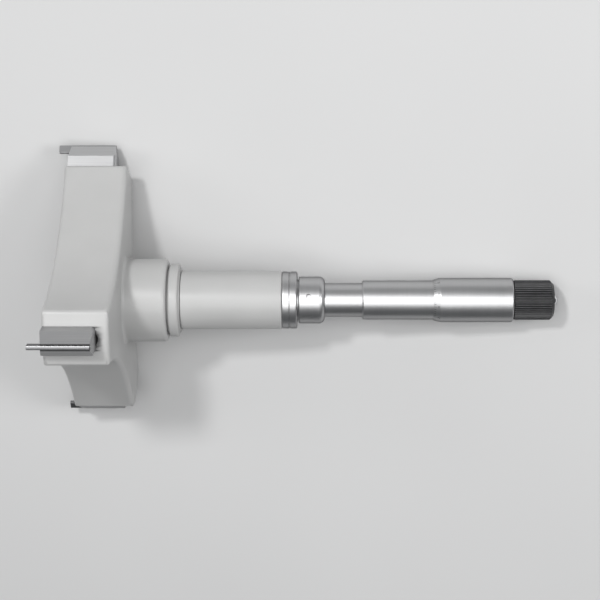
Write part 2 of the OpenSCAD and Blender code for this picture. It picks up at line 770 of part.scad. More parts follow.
module ratchet_spring() {
  length = screw_head_z - web_end_z - 2 * disc_gap;
  color("slategray") laid() fed() translate([0, 0, web_end_z + disc_gap])
    coil_spring(ratchet_spring_r, ratchet_wire_r, length, ratchet_turns);
}

// Screw through the ratchet, with a slotted head and a round bright button
module ratchet_screw() {
  shank_z = clutch_end_z - 6;
  side_r = (button_r * button_r + button_h * button_h) / (2 * button_h);
  half_angle = asin(button_r / side_r);
  color("white") laid() fed() rotate_extrude() polygon(concat(
    [[0, shank_z], [ratchet_shank_r, shank_z], [ratchet_shank_r, screw_head_z],
     [screw_head_r, screw_head_z], [screw_head_r, knob_end_z - free_gap], [button_r, knob_end_z - free_gap]],
    [[button_r, knob_end_z]],
    [for (i = [1 : 8]) let (a = half_angle * (1 - i / 8))
      [side_r * sin(a), knob_end_z + button_h - side_r + side_r * cos(a)]]));
}

// Knurled outline: a ring of ridges
module knurl_outline() {
  steps = 2 * knurl_n;
  polygon([for (i = [0 : steps - 1]) let (r = i % 2 == 0 ? knob_r : knob_r - knurl_d, a = i * 360 / steps)
    [r * cos(a), r * sin(a)]]);
}

module ratchet_knob() {
  front_e = 0.6;
  color([0.09, 0.09, 0.1]) laid() fed() difference() {
    intersection() {
      translate([0, 0, knob_z]) linear_extrude(knob_l) knurl_outline();
      rotate_extrude() polygon([
        [0, knob_z], [knob_r - front_e, knob_z], [knob_r + cut, knob_z + front_e + cut],
        [knob_r + cut, knob_end_z - knob_chamfer - cut], [knob_r - knob_chamfer, knob_end_z], [0, knob_end_z]]);
    }
    translate([0, 0, knob_z - cut]) cylinder(h = web_z - knob_z + cut, r = clutch_r + free_gap);
    translate([0, 0, knob_z]) cylinder(h = knob_l + cut, r = ratchet_shank_r + running);
    translate([0, 0, web_end_z]) cylinder(h = knob_l, r = knob_recess_r);
  }
}

head_body();
hub();
front_cover();
cover_screws();
rod_bushes();
measuring_rod(1);  // measuring_rod_1
measuring_rod(2);  // measuring_rod_2
measuring_rod(3);  // measuring_rod_3
anvil_holder(1);  // anvil_holder_1
anvil_holder(2);  // anvil_holder_2
anvil_holder(3);  // anvil_holder_3
carbide_tip(1);  // carbide_tip_1
carbide_tip(2);  // carbide_tip_2
carbide_tip(3);  // carbide_tip_3
return_spring(1);  // return_spring_1
return_spring(2);  // return_spring_2
return_spring(3);  // return_spring_3
expanding_cone();
push_rod();
guide_bush();
guide_pin();
coupling_ring();
handle_tube();
feed_spring();
end_ring();
clamp_nut();
barrel();
graduated_sleeve();
adjusting_nut();
thrust_ball();
spindle();
thimble();
clutch_nut();
clutch_disc();
ratchet_spring();
ratchet_screw();
ratchet_knob();
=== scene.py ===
"""Looks of a three-point inside micrometer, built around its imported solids.

Turned pieces, screws, ridges and scales are drawn in the tool's own frame, in millimetres and degrees: z runs
along the tool axis from the front face of the head towards the ratchet, and x points along the upright arm.
ToolFrame lays them down. The other pieces are smoothed copies of the solids' meshes.
"""

import logging
import math
from dataclasses import dataclass, field
from enum import Enum
from typing import Callable, Optional, Sequence

import bmesh
import bpy
from mathutils import Matrix, Vector


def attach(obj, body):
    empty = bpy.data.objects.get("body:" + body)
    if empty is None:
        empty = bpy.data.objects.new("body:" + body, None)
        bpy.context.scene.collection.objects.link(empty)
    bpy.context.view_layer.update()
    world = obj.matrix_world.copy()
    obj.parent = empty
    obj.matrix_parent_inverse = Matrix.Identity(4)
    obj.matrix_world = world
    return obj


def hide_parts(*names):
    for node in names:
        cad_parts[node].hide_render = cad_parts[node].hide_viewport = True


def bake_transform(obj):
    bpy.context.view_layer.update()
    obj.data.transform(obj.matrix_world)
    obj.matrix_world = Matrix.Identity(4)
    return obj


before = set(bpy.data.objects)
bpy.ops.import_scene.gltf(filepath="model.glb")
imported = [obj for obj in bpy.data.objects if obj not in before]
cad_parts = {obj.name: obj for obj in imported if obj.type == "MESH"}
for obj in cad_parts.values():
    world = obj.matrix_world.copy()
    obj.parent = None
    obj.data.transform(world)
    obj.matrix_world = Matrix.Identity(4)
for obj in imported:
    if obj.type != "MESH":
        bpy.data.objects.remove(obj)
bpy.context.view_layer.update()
LOG = logging.getLogger("inside_micrometer")

MM = 0.001
WELD = 1e-5  # millimetres within which points of a drawn shape are one
TINY = 1e-6  # millimetres up to which a length counts as none
SOLID_WELD = 1e-6  # metres within which points of a solid's mesh are one
FLAT = 0.4  # degrees within which faces of a solid are one flat face
BROKEN = 28.0  # degrees from which an edge of a solid can be broken

Colour = tuple[float, float, float]
Material = bpy.types.Material
Piece = bpy.types.Object
Shape = bmesh.types.BMesh
Socket = bpy.types.NodeSocket


class Slot(Enum):
    """Material slots, by which the finishes are handed out."""

    PAINT = "grey_paint"
    SATIN = "satin_steel"
    GROUND = "ground_steel"
    CARBIDE = "carbide"
    TOOL = "tool_steel"
    POLISHED = "polished_steel"
    SPRING = "spring_steel"
    BRONZE = "bronze"
    DARK = "dark_steel"
    LINING = "friction_lining"
    KNURL = "black_knurl"


class Body(Enum):
    """Bodies that pieces ride on."""

    FRAME = "frame"
    CARRIAGE = "carriage"
    THIMBLE = "thimble_unit"
    RATCHET = "ratchet_unit"
    ANVIL_1 = "anvil_1"
    ANVIL_2 = "anvil_2"
    ANVIL_3 = "anvil_3"


ANVILS = (Body.ANVIL_1, Body.ANVIL_2, Body.ANVIL_3)


class Grain(Enum):
    """Fine marks that a tool leaves on metal: the scale of their pattern along and across the tool axis.

    A small scale draws the marks out. FACED marks are rings about the axis instead.
    """

    TURNED = (1.0, 0.012, 0.012)
    GROUND = (0.012, 1.0, 1.0)
    LAPPED = (1.0, 1.0, 1.0)
    FACED = (0.0, 0.0, 0.0)


@dataclass(frozen=True)
class ToolFrame:
    """How the tool lies in the shared frame.

    Attributes:
        tilt: Angle of the tool axis below the horizontal, in degrees.
        lift: Height of the axis at the front face of the head, in millimetres.
        middle: Distance from the front face to the middle of the tool's box, in millimetres.
    """

    tilt: float = 9.25125
    lift: float = 49.3697
    middle: float = 117.472

    @property
    def along(self) -> Vector:
        """Direction of the tool axis, from the head to the ratchet."""
        t = math.radians(self.tilt)
        return Vector((math.cos(t), 0.0, -math.sin(t)))

    @property
    def upright(self) -> Vector:
        """Direction of the upright arm."""
        t = math.radians(self.tilt)
        return Vector((math.sin(t), 0.0, math.cos(t)))

    def arm(self, angle: float) -> Vector:
        """Gives the direction at an angle about the tool axis, in radians from the upright arm."""
        return self.upright * math.cos(angle) + Vector((0.0, -math.sin(angle), 0.0))

    def matrix(self) -> Matrix:
        """Gives the step from tool millimetres to the shared frame.

        Returns:
            A matrix that turns, scales and moves tool points into place.
        """
        turn = Matrix((self.upright, Vector((0.0, -1.0, 0.0)), self.along)).transposed().to_4x4()
        move = Matrix.Translation(Vector((-self.middle, 0.0, self.lift)) * MM)
        return move @ turn @ Matrix.Scale(MM, 4)

    def point(self, z: float) -> Vector:
        """Gives a point on the tool axis, z millimetres behind the front face."""
        return self.matrix() @ Vector((0.0, 0.0, z))


TOOL = ToolFrame()


def polar(r: float, angle: float, z: float) -> Vector:
    """Gives the point at a distance from the z axis, an angle about it in radians and a place along it."""
    return Vector((r * math.cos(angle), r * math.sin(angle), z))


def shade(colour: Sequence[float], factor: float) -> tuple[float, ...]:
    """Darkens or lightens a linear colour by a factor."""
    return tuple(min(1.0, c * factor) for c in colour)


class Graph:
    """A node tree with short calls to add and link nodes."""

    def __init__(self, tree: bpy.types.NodeTree) -> None:
        """Wraps a node tree."""
        self.tree = tree

    def add(self, kind: str, values: Optional[dict] = None, **settings: object) -> bpy.types.Node:
        """Adds a node.

        Args:
            kind: Blender's name of the node type.
            values: Input socket name or index to a constant, or to a socket that feeds it.
            **settings: Properties of the node itself.

        Returns:
            The new node.
        """
        node = self.tree.nodes.new(kind)
        for key, value in settings.items():
            setattr(node, key, value)
        for key, value in (values or {}).items():
            if isinstance(value, Socket):
                self.tree.links.new(value, node.inputs[key])
            else:
                node.inputs[key].default_value = value
        return node

    def maths(self, operation: str, a: object, b: object = 0.0) -> Socket:
        """Adds a Math node with two values or sockets and gives its result."""
        return self.add("ShaderNodeMath", {0: a, 1: b}, operation=operation).outputs[0]


class Surface(Graph):
    """Shader tree of one finish, with the noises that most finishes share.

    Attributes:
        noise_low: Low end of the values that a noise mostly has.
        noise_high: High end of them.
    """

    noise_low: float = 0.3
    noise_high: float = 0.7

    def __init__(self, name: str) -> None:
        """Starts an empty material of that name."""
        self.material = bpy.data.materials.new(name)
        self.material.use_nodes = True
        super().__init__(self.material.node_tree)
        self.tree.nodes.clear()
        self.shader = self.add("ShaderNodeBsdfPrincipled")
        out = self.add("ShaderNodeOutputMaterial")
        self.tree.links.new(self.shader.outputs[0], out.inputs["Surface"])
        self.place = self.add("ShaderNodeTexCoord").outputs["Object"]
        lie = {"Location": TOOL.point(0.0), "Rotation": (0.0, math.radians(TOOL.tilt), 0.0)}
        mapping = self.add("ShaderNodeMapping", {"Vector": self.place, **lie}, vector_type="TEXTURE")
        self.tool = mapping.outputs[0]

    def stretched(self, stretch: Sequence[float]) -> Socket:
        """Gives tool coordinates scaled along the tool axis and in the two directions across it."""
        return self.add("ShaderNodeMapping", {"Vector": self.tool, "Scale": tuple(stretch)}).outputs[0]

    def noise(self, at: Socket, scale: float, detail: float = 2.0) -> Socket:
        """Gives a noise between 0 and 1, by its waves to a metre and its number of finer layers."""
        return self.add("ShaderNodeTexNoise", {"Vector": at, "Scale": scale, "Detail": detail}).outputs["Fac"]

    def spread(self, value: Socket, low: float = 0.0, high: float = 1.0) -> Socket:
        """Spreads the middle of a noise, where most of its values lie, over a range."""
        limits = {"From Min": self.noise_low, "From Max": self.noise_high, "To Min": low, "To Max": high}
        return self.add("ShaderNodeMapRange", {"Value": value, **limits}).outputs[0]

    def around(self, value: Socket, middle: float, reach: float) -> Socket:
        """Varies a number about its middle by a noise."""
        return self.spread(value, middle - reach, middle + reach)

    def mixed(self, one: Socket, two: Socket, share: float) -> Socket:
        """Mixes two noises, by the share of the first."""
        return self.maths("ADD", self.maths("MULTIPLY", one, share), self.maths("MULTIPLY", two, 1.0 - share))

    def tint(self, value: Socket, low: Sequence[float], high: Sequence[float]) -> Socket:
        """Blends two colours by the share of the second."""
        inputs = {"Factor": value, "A": (*low, 1.0), "B": (*high, 1.0)}
        return self.add("ShaderNodeMix", inputs, data_type="RGBA").outputs["Result"]

    def shades(self, value: Socket, colour: Colour, dark: float, pale: float) -> Socket:
        """Varies a colour by a noise, from a darker to a paler shade of it."""
        return self.tint(self.spread(value), shade(colour, dark), shade(colour, pale))

    def radius(self) -> Socket:
        """Gives the distance from the tool axis, in metres."""
        flat = self.add("ShaderNodeVectorMath", {0: self.tool, 1: (0.0, 1.0, 1.0)}, operation="MULTIPLY")
        return self.add("ShaderNodeVectorMath", {0: flat.outputs[0]}, operation="LENGTH").outputs["Value"]

    def rings(self) -> Socket:
        """Gives coordinates that change with the distance from the tool axis alone."""
        return self.add("ShaderNodeCombineXYZ", {"X": self.radius()}).outputs[0]

    def bumps(self, height: Socket, strength: float, depth: float) -> None:
        """Roughens the surface by a height field from 0 to 1, with its depth in metres."""
        bump = self.add("ShaderNodeBump", {"Height": height, "Strength": strength, "Distance": depth})
        self.tree.links.new(bump.outputs[0], self.shader.inputs["Normal"])

    def drive(self, **sockets: Socket) -> None:
        """Links sockets to the shader's inputs, with underscores for the spaces in their names."""
        for key, value in sockets.items():
            self.tree.links.new(value, self.shader.inputs[key.replace("_", " ")])

    def settle(self, **numbers: object) -> None:
        """Sets constants on the shader's inputs, with underscores for the spaces in their names."""
        for key, value in numbers.items():
            self.shader.inputs[key.replace("_", " ")].default_value = value


@dataclass(frozen=True)
class Enamel:
    """Sprayed satin enamel with a fine orange peel and a faint unevenness.

    Attributes:
        name: Name of the finish.
        colour: Linear colour of the paint.
        dark: Shade of its darkest spots.
        pale: Shade of its palest spots.
        cloud: Clouds of colour to a metre.
        speck: Specks of colour to a metre.
        cloud_share: Share of the clouds in the colour, with specks for the rest.
        roughness: Middle roughness.
        uneven: How far the roughness strays from it.
        coat: Weight of the clear coat.
        coat_roughness: Roughness of the clear coat.
        peel: Bumps of the orange peel to a metre.
        peel_relief: Strength of those bumps.
        peel_depth: Their depth in metres.
    """

    name: str = "satin_grey_enamel"
    colour: Colour = (0.45, 0.45, 0.446)
    dark: float = 0.955
    pale: float = 1.04
    cloud: float = 38.0
    speck: float = 2600.0
    cloud_share: float = 0.7
    roughness: float = 0.42
    uneven: float = 0.05
    coat: float = 0.12
    coat_roughness: float = 0.22
    peel: float = 900.0
    peel_relief: float = 0.12
    peel_depth: float = 0.00012

    def material(self) -> Material:
        """Builds the finish's material."""
        s = Surface(self.name)
        cloud = s.noise(s.place, self.cloud, detail=3.0)
        both = s.mixed(cloud, s.noise(s.place, self.speck, detail=1.0), self.cloud_share)
        s.drive(
            Base_Color=s.shades(both, self.colour, self.dark, self.pale),
            Roughness=s.around(cloud, self.roughness, self.uneven),
        )
        s.settle(Coat_Weight=self.coat, Coat_Roughness=self.coat_roughness)
        s.bumps(s.noise(s.place, self.peel), self.peel_relief, self.peel_depth)
        return s.material


@dataclass(frozen=True)
class BareMetal:
    """Metal with the fine marks of its machining.

    Attributes:
        name: Name of the finish.
        colour: Linear colour of the metal.
        roughness: Middle roughness.
        grain: Direction of the marks.
        marks: Marks to a metre across their direction.
        relief: Strength of the marks' bump.
        contrast: Share by which the marks change the colour.
        edge: Grey that the reflection fades to where the surface is seen at a slant, as painted shade
        towards the outlines.
        uneven: How far the roughness strays from its middle.
        cloud: Clouds of roughness to a metre.
        mark_share: Share of the marks in the roughness, with clouds for the rest.
        depth: Depth of the marks in metres.
    """

    name: str
    colour: Colour
    roughness: float
    grain: Grain = Grain.TURNED
    marks: float = 2600.0
    relief: float = 0.002
    contrast: float = 0.02
    edge: float = 0.38
    uneven: float = 0.025
    cloud: float = 60.0
    mark_share: float = 0.6
    depth: float = 0.00006

    def material(self) -> Material:
        """Builds the finish's material."""
        s = Surface(self.name)
        at = s.rings() if self.grain is Grain.FACED else s.stretched(self.grain.value)
        marks = s.noise(at, self.marks, detail=3.0)
        both = s.mixed(marks, s.noise(s.place, self.cloud), self.mark_share)
        s.drive(
            Base_Color=s.shades(marks, self.colour, 1.0 - self.contrast, 1.0 + self.contrast),
            Roughness=s.around(both, self.roughness, self.uneven),
        )
        # The slant grey darkens the grazing reflection: painted shade towards the outlines.
        s.settle(Metallic=1.0, Specular_Tint=(self.edge, self.edge, self.edge, 1.0))
        s.bumps(marks, self.relief, self.depth)
        return s.material


@dataclass(frozen=True)
class BlackKnurl:
    """Black anodised metal, paler on its knurl's crests: partly rubbed wear, partly a painted highlight.

    Attributes:
        name: Name of the finish.
        colour: Linear colour in the roots.
        crest: Linear colour of a crest, rubbed and with a painted highlight.
        root_r: Distance from the tool axis up to which the crests are not made paler.
        crest_r: Distance from the tool axis at which the crests are palest.
        patch: Patches of paler crests to a metre.
        least: Share of the paler crests that is left between the patches.
        roughness: Middle roughness.
        uneven: How far the roughness strays from it.
        mottle: Spots of roughness to a metre.
        gloss: Level of the clear reflection.
        marks: Turning marks to a metre.
        relief: Strength of those marks.
        depth: Their depth in metres.
    """

    name: str = "black_anodised_knurl"
    colour: Colour = (0.007, 0.007, 0.008)
    crest: Colour = (0.065, 0.065, 0.068)
    root_r: float = 9.72
    crest_r: float = 10.0
    patch: float = 420.0
    least: float = 0.35
    roughness: float = 0.36
    uneven: float = 0.06
    mottle: float = 900.0
    gloss: float = 0.6
    marks: float = 3000.0
    relief: float = 0.05
    depth: float = 0.00005

    def material(self) -> Material:
        """Builds the finish's material."""
        s = Surface(self.name)
        limits = {"Value": s.radius(), "From Min": self.root_r * MM, "From Max": self.crest_r * MM}
        crest_wear_and_sheen = s.add("ShaderNodeMapRange", limits).outputs[0]
        patches = s.spread(s.noise(s.place, self.patch, detail=3.0), self.least)
        s.drive(
            # Paler crests: partly rubbed wear, partly a painted highlight.
            Base_Color=s.tint(s.maths("MULTIPLY", crest_wear_and_sheen, patches), self.colour, self.crest),
            Roughness=s.around(s.noise(s.place, self.mottle), self.roughness, self.uneven),
        )
        s.settle(Specular_IOR_Level=self.gloss)
        s.bumps(s.noise(s.stretched(Grain.TURNED.value), self.marks), self.relief, self.depth)
        return s.material


@dataclass(frozen=True)
class Matt:
    """Matt filler or fibre with a mottled colour.

    Attributes:
        name: Name of the finish.
        colour: Linear middle colour.
        roughness: Middle roughness.
        mottle: Spots to a metre.
        dark: Shade of the darkest spots.
        pale: Shade of the palest spots.
        uneven: How far the roughness strays from its middle.
        relief: Strength of the spots' bump.
        depth: Depth of the spots in metres.
    """

    name: str
    colour: Colour
    roughness: float = 0.6
    mottle: float = 1800.0
    dark: float = 0.8
    pale: float = 1.2
    uneven: float = 0.08
    relief: float = 0.08
    depth: float = 0.00004

    def material(self) -> Material:
        """Builds the finish's material."""
        s = Surface(self.name)
        spots = s.noise(s.place, self.mottle)
        s.drive(
            Base_Color=s.shades(spots, self.colour, self.dark, self.pale),
            Roughness=s.around(spots, self.roughness, self.uneven),
        )
        s.bumps(spots, self.relief, self.depth)
        return s.material


@dataclass(frozen=True)
class PaleFloor:
    """Matt pale floor with faint clouds."""

    name: str = "pale_floor"
    dark: Colour = (0.56, 0.56, 0.56)
    pale: Colour = (0.575, 0.575, 0.575)
    cloud: float = 6.0
    roughness: float = 0.85

    def material(self) -> Material:
        """Builds the finish's material."""
        s = Surface(self.name)
        s.drive(Base_Color=s.tint(s.spread(s.noise(s.place, self.cloud)), self.dark, self.pale))
        s.settle(Roughness=self.roughness)
        return s.material


class Finishes:
    """Builds the materials once and hands them out by slot.

    Attributes:
        by_slot: Material of each slot.
        ink: Material of the scales.
        faced: Material of the front cover.
        seam: Material of the painted shade in the grooves on both sides of each bar.
    """

    def __init__(self) -> None:
        """Builds every material of the tool."""
        finishes = {
            Slot.PAINT: Enamel(),
            # Satin chrome fades nearly to black at a slant: painted shade towards its outlines.
            Slot.SATIN: BareMetal("satin_chrome", (0.58, 0.58, 0.585), 0.40, edge=0.08),
            Slot.GROUND: BareMetal(
                "fine_ground_steel", (0.60, 0.60, 0.605), 0.40, Grain.GROUND,
                marks=2200.0, relief=0.01, contrast=0.05,
            ),
            Slot.CARBIDE: BareMetal(
                "ground_carbide", (0.33, 0.33, 0.335), 0.34, Grain.GROUND, marks=3400.0, relief=0.004
            ),
            Slot.TOOL: BareMetal(
                "hardened_steel", (0.46, 0.46, 0.48), 0.26, Grain.LAPPED, marks=1500.0, relief=0.04
            ),
            Slot.POLISHED: BareMetal("bright_steel", (0.80, 0.80, 0.81), 0.12, marks=2000.0, relief=0.02),
            Slot.SPRING: BareMetal(
                "drawn_wire", (0.33, 0.33, 0.345), 0.30, Grain.LAPPED, marks=3000.0, relief=0.05
            ),
            Slot.BRONZE: BareMetal("turned_bronze", (0.55, 0.36, 0.14), 0.30),
            Slot.DARK: BareMetal(
                "blackened_steel", (0.055, 0.055, 0.06), 0.36, Grain.LAPPED, marks=1800.0, relief=0.06
            ),
            Slot.LINING: Matt("pressed_fibre", (0.20, 0.10, 0.05), 0.75, mottle=1200.0),
            Slot.KNURL: BlackKnurl(),
        }
        self.by_slot = {slot: finish.material() for slot, finish in finishes.items()}
        self.ink = Matt("scale_ink", (0.012, 0.012, 0.013), 0.5).material()
        self.faced = BareMetal(
            "faced_steel", (0.56, 0.56, 0.565), 0.36, Grain.FACED, marks=1400.0, relief=0.02, contrast=0.08
        ).material()
        # Dark metal for the painted shade in the grooves beside each carbide bar.
        self.seam = BareMetal(
            "brazed_seam", (0.09, 0.09, 0.092), 0.50, Grain.LAPPED, marks=1500.0, relief=0.05, contrast=0.2
        ).material()

    def of(self, slot: Slot) -> Material:
        """Gives the material of a slot."""
        return self.by_slot[slot]


@dataclass(frozen=True)
class Corner:
    """One corner of a turned profile: distance from the axis, place along it, and rounding."""

    r: float
    z: float
    rounding: float = 0.0

    @property
    def spot(self) -> Vector:
        """The corner as a flat point."""
        return Vector((self.r, self.z))


def rounded_outline(
    corners: Sequence[Corner], steps: int = 4, most: float = 0.48
) -> list[tuple[float, float]]:
    """Rounds the corners of a closed outline.

    Args:
        corners: The outline's corners in order.
        steps: Pieces of each rounding.
        most: Largest share of a side that one rounding takes.

    Returns:
        Points of the rounded outline, as distance from the axis and place along it.
    """
    points: list[tuple[float, float]] = []
    for i, corner in enumerate(corners):
        here = corner.spot
        if corner.rounding <= 0.0:
            points.append((here.x, here.y))
            continue
        to_last = corners[i - 1].spot - here
        to_next = corners[(i + 1) % len(corners)].spot - here
        half = to_last.angle(to_next) / 2.0
        inset = min(corner.rounding / math.tan(half), most * to_last.length, most * to_next.length)
        radius = inset * math.tan(half)
        a, b = to_last.normalized(), to_next.normalized()
        centre = here + (a + b).normalized() * (radius / math.sin(half))
        start, end = here + a * inset - centre, here + b * inset - centre
        sweep = start.angle_signed(end)
        first = math.atan2(start.y, start.x)
        for k in range(steps + 1):
            angle = first - sweep * k / steps
            points.append((centre.x + radius * math.cos(angle), centre.y + radius * math.sin(angle)))
    return points


def link_mesh(name: str, mesh: bpy.types.Mesh) -> Piece:
    """Puts a mesh into the scene as an object at the origin.

    Args:
        name: Name of the piece.
        mesh: Its mesh, already in place.

    Returns:
        The new object.
    """
    piece = bpy.data.objects.new(name, mesh)
    bpy.context.scene.collection.objects.link(piece)
    return piece


def formed(name: str, shape: Shape, material: Material, move: Optional[Matrix] = None) -> Piece:
    """Makes a piece of one finish from a shape.

    Args:
        name: Name of the piece.
        shape: The shape, which is used up.
        material: The finish.
        move: Step from the shape's own frame to the shared one, if they differ.

    Returns:
        The new piece.
    """
    mesh = bpy.data.meshes.new(name)
    shape.to_mesh(mesh)
    shape.free()
    if move is not None:
        mesh.transform(move)
    mesh.materials.append(material)
    mesh.polygons.foreach_set("material_index", [0] * len(mesh.polygons))
    return link_mesh(name, mesh)


def settled(piece: Piece) -> Piece:
    """Turns a piece with modifiers into one plain mesh.

    Args:
        piece: The piece with its modifiers.

    Returns:
        The same piece with a plain mesh and no modifiers.
    """
    graph = bpy.context.evaluated_depsgraph_get()
    mesh = bpy.data.meshes.new_from_object(piece.evaluated_get(graph), depsgraph=graph)
    piece.modifiers.clear()
    old, piece.data = piece.data, mesh
    bpy.data.meshes.remove(old)
    mesh.name = piece.name
    return piece


def smoothed(piece: Piece, sharp: float = 32.0) -> Piece:
    """Shades a piece smoothly up to an angle, with large faces kept flat.

    Args:
        piece: The piece.
        sharp: Angle in degrees from which an edge stays sharp.

    Returns:
        The same piece.
    """
    mesh = piece.data
    mesh.polygons.foreach_set("use_smooth", [True] * len(mesh.polygons))
    mesh.set_sharp_from_angle(angle=math.radians(sharp))
    even = piece.modifiers.new("even_normals", "WEIGHTED_NORMAL")
    even.keep_sharp = True
    return settled(piece)


def turned(name: str, corners: Sequence[Corner], material: Material, around: int = 160) -> Piece:
    """Turns a closed profile about the tool axis.

    Args:
        name: Name of the piece.
        corners: The profile's corners.
        material: Its finish.
        around: Number of faces around the axis.

    Returns:
        The finished piece.
    """
    outline = rounded_outline(corners)
    shape = bmesh.new()
    rings = []
    for j in range(around):
        a = math.tau * j / around
        rings.append([shape.verts.new(polar(r, a, z)) for r, z in outline])
    for j in range(around):
        one, two = rings[j], rings[(j + 1) % around]
        for k in range(len(outline)):
            n = (k + 1) % len(outline)
            if max(outline[k][0], outline[n][0]) > TINY:
                shape.faces.new((one[k], one[n], two[n], two[k]))
    bmesh.ops.remove_doubles(shape, verts=shape.verts, dist=WELD)
    bmesh.ops.dissolve_degenerate(shape, edges=shape.edges, dist=TINY)
    bmesh.ops.recalc_face_normals(shape, faces=shape.faces)
    return smoothed(formed(name, shape, material, TOOL.matrix()))


def dressed_copy(node: str, name: str, material: Material, bevel: float = 0.0, sharp: float = 24.0) -> Piece:
    """Copies a solid's mesh, breaks its sharp edges and shades it smoothly.

    Args:
        node: The solid.
        name: Name of the piece.
        material: Its finish.
        bevel: Width of the broken edges in millimetres.
        sharp: Angle in degrees from which an edge stays sharp.

    Returns:
        The finished piece.
    """
    shape = bmesh.new()
    shape.from_mesh(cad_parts[node].data)
    bmesh.ops.remove_doubles(shape, verts=shape.verts, dist=SOLID_WELD)
    bmesh.ops.dissolve_limit(
        shape, verts=shape.verts, edges=shape.edges,
        angle_limit=math.radians(FLAT), use_dissolve_boundaries=False,
    )
    if bevel > 0.0:
        limit = math.radians(BROKEN)
        edges = [e for e in shape.edges if len(e.link_faces) == 2 and e.calc_face_angle(0.0) > limit]
        bmesh.ops.bevel(
            shape, geom=edges, offset=bevel * MM, segments=2, profile=0.5, affect="EDGES", clamp_overlap=True
        )
    return smoothed(formed(name, shape, material), sharp)


def place(piece: Piece, body: Body, slot: Slot, *stands_for: str) -> Piece:
    """Makes a finished piece ride on its body.

    Args:
        piece: The finished piece.
        body: Body that it moves with.
        slot: Slot of its finish; not used.
        *stands_for: Solids that it is shown in place of.

    Returns:
        The same piece.
    """
    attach(piece, body.value)
    if stands_for:
        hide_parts(*stands_for)
    LOG.info("%s: %d faces, rides on %s", piece.name, len(piece.data.polygons), body.value)
    return piece


class Repeat(Enum):
    """How an item is repeated."""

    AROUND = "around the tool axis"
    ALONG = "along the tool axis"


@dataclass(frozen=True)
class Row:
    """A row of equal items, made by a Geometry Nodes tree.

    Attributes:
        name: Name of the row.
        way: Whether the items go around the axis or along it.
        count: Number of items.
        first: Angle or place of the first item, in degrees or millimetres.
        step: Angle or distance from item to item.
    """

    name: str
    way: Repeat
    count: int
    first: float
    step: float

    def tree(self) -> tuple[bpy.types.NodeTree, dict[str, str]]:
        """Builds the row's node tree.

        Returns:
            The tree, and the identifier of each named input.
        """
        tree = bpy.data.node_groups.new(self.name, "GeometryNodeTree")
        kinds = {"Count": "Int", "First": "Float", "Step": "Float", "Item": "Object", "Finish": "Material"}
        names = {}
        for name, kind in kinds.items():
            socket = tree.interface.new_socket(name=name, in_out="INPUT", socket_type=f"NodeSocket{kind}")
            names[name] = socket.identifier
        tree.interface.new_socket(name="Geometry", in_out="OUTPUT", socket_type="NodeSocketGeometry")
        g = Graph(tree)
        given = g.add("NodeGroupInput").outputs
        index = g.add("GeometryNodeInputIndex").outputs[0]
        value = g.maths("ADD", g.maths("MULTIPLY", index, given["Step"]), given["First"])
        item = g.add("GeometryNodeObjectInfo", {"Object": given["Item"]}).outputs["Geometry"]
        spot = g.add("ShaderNodeCombineXYZ", {"Z": value}).outputs[0]
        points = g.add("GeometryNodePoints", {"Count": given["Count"]})
        copies = g.add("GeometryNodeInstanceOnPoints", {"Points": points.outputs[0], "Instance": item})
        if self.way is Repeat.ALONG:
            tree.links.new(spot, points.inputs["Position"])
        else:
            tree.links.new(spot, copies.inputs["Rotation"])
        whole = g.add("GeometryNodeRealizeInstances", {"Geometry": copies.outputs[0]}).outputs[0]
        done = g.add("GeometryNodeSetMaterial", {"Geometry": whole, "Material": given["Finish"]}).outputs[0]
        g.add("NodeGroupOutput", {"Geometry": done})
        return tree, names

    def build(self, item: Shape, material: Material) -> Piece:
        """Repeats an item and turns the row into a plain mesh in place.

        Args:
            item: One item in the tool's frame, which is used up.
            material: The row's finish.

        Returns:
            The finished row.
        """
        seed = formed(f"{self.name}_item", item, material)
        holder = link_mesh(self.name, bpy.data.meshes.new(self.name))
        tree, names = self.tree()
        modifier = holder.modifiers.new(self.name, "NODES")
        modifier.node_group = tree
        turn = math.radians if self.way is Repeat.AROUND else float
        modifier[names["Count"]] = self.count
        modifier[names["First"]] = turn(self.first)
        modifier[names["Step"]] = turn(self.step)
        modifier[names["Item"]] = seed
        modifier[names["Finish"]] = material
        row = settled(holder)
        bpy.data.objects.remove(seed)
        row.data.transform(TOOL.matrix())
        row.data.materials.clear()
        row.data.materials.append(material)
        row.data.polygons.foreach_set("material_index", [0] * len(row.data.polygons))
        return row


def prism(sections: Sequence[Sequence[Vector]]) -> Shape:
    """Skins a closed solid over a row of sections with equal numbers of points.

    Args:
        sections: Points of each section, in order around it.

    Returns:
        The solid.
    """
    shape = bmesh.new()
    rings = [[shape.verts.new(p) for p in section] for section in sections]
    size = len(rings[0])
    for one, two in zip(rings, rings[1:]):
        for k in range(size):
            n = (k + 1) % size
            shape.faces.new((one[k], one[n], two[n], two[k]))
    shape.faces.new(rings[0])
    shape.faces.new(rings[-1])
    bmesh.ops.recalc_face_normals(shape, faces=shape.faces)
    return shape


def joined(name: str, pieces: Sequence[Piece]) -> Piece:
    """Joins pieces of one finish into one mesh.

    Args:
        name: Name of the joined piece.
        pieces: The pieces, which are used up.

    Returns:
        The joined piece.
    """
    shape = bmesh.new()
    material = pieces[0].data.materials[0]
    for piece in pieces:
        mesh = piece.data
        shape.from_mesh(mesh)
        bpy.data.objects.remove(piece)
        bpy.data.meshes.remove(mesh)
    return formed(name, shape, material)


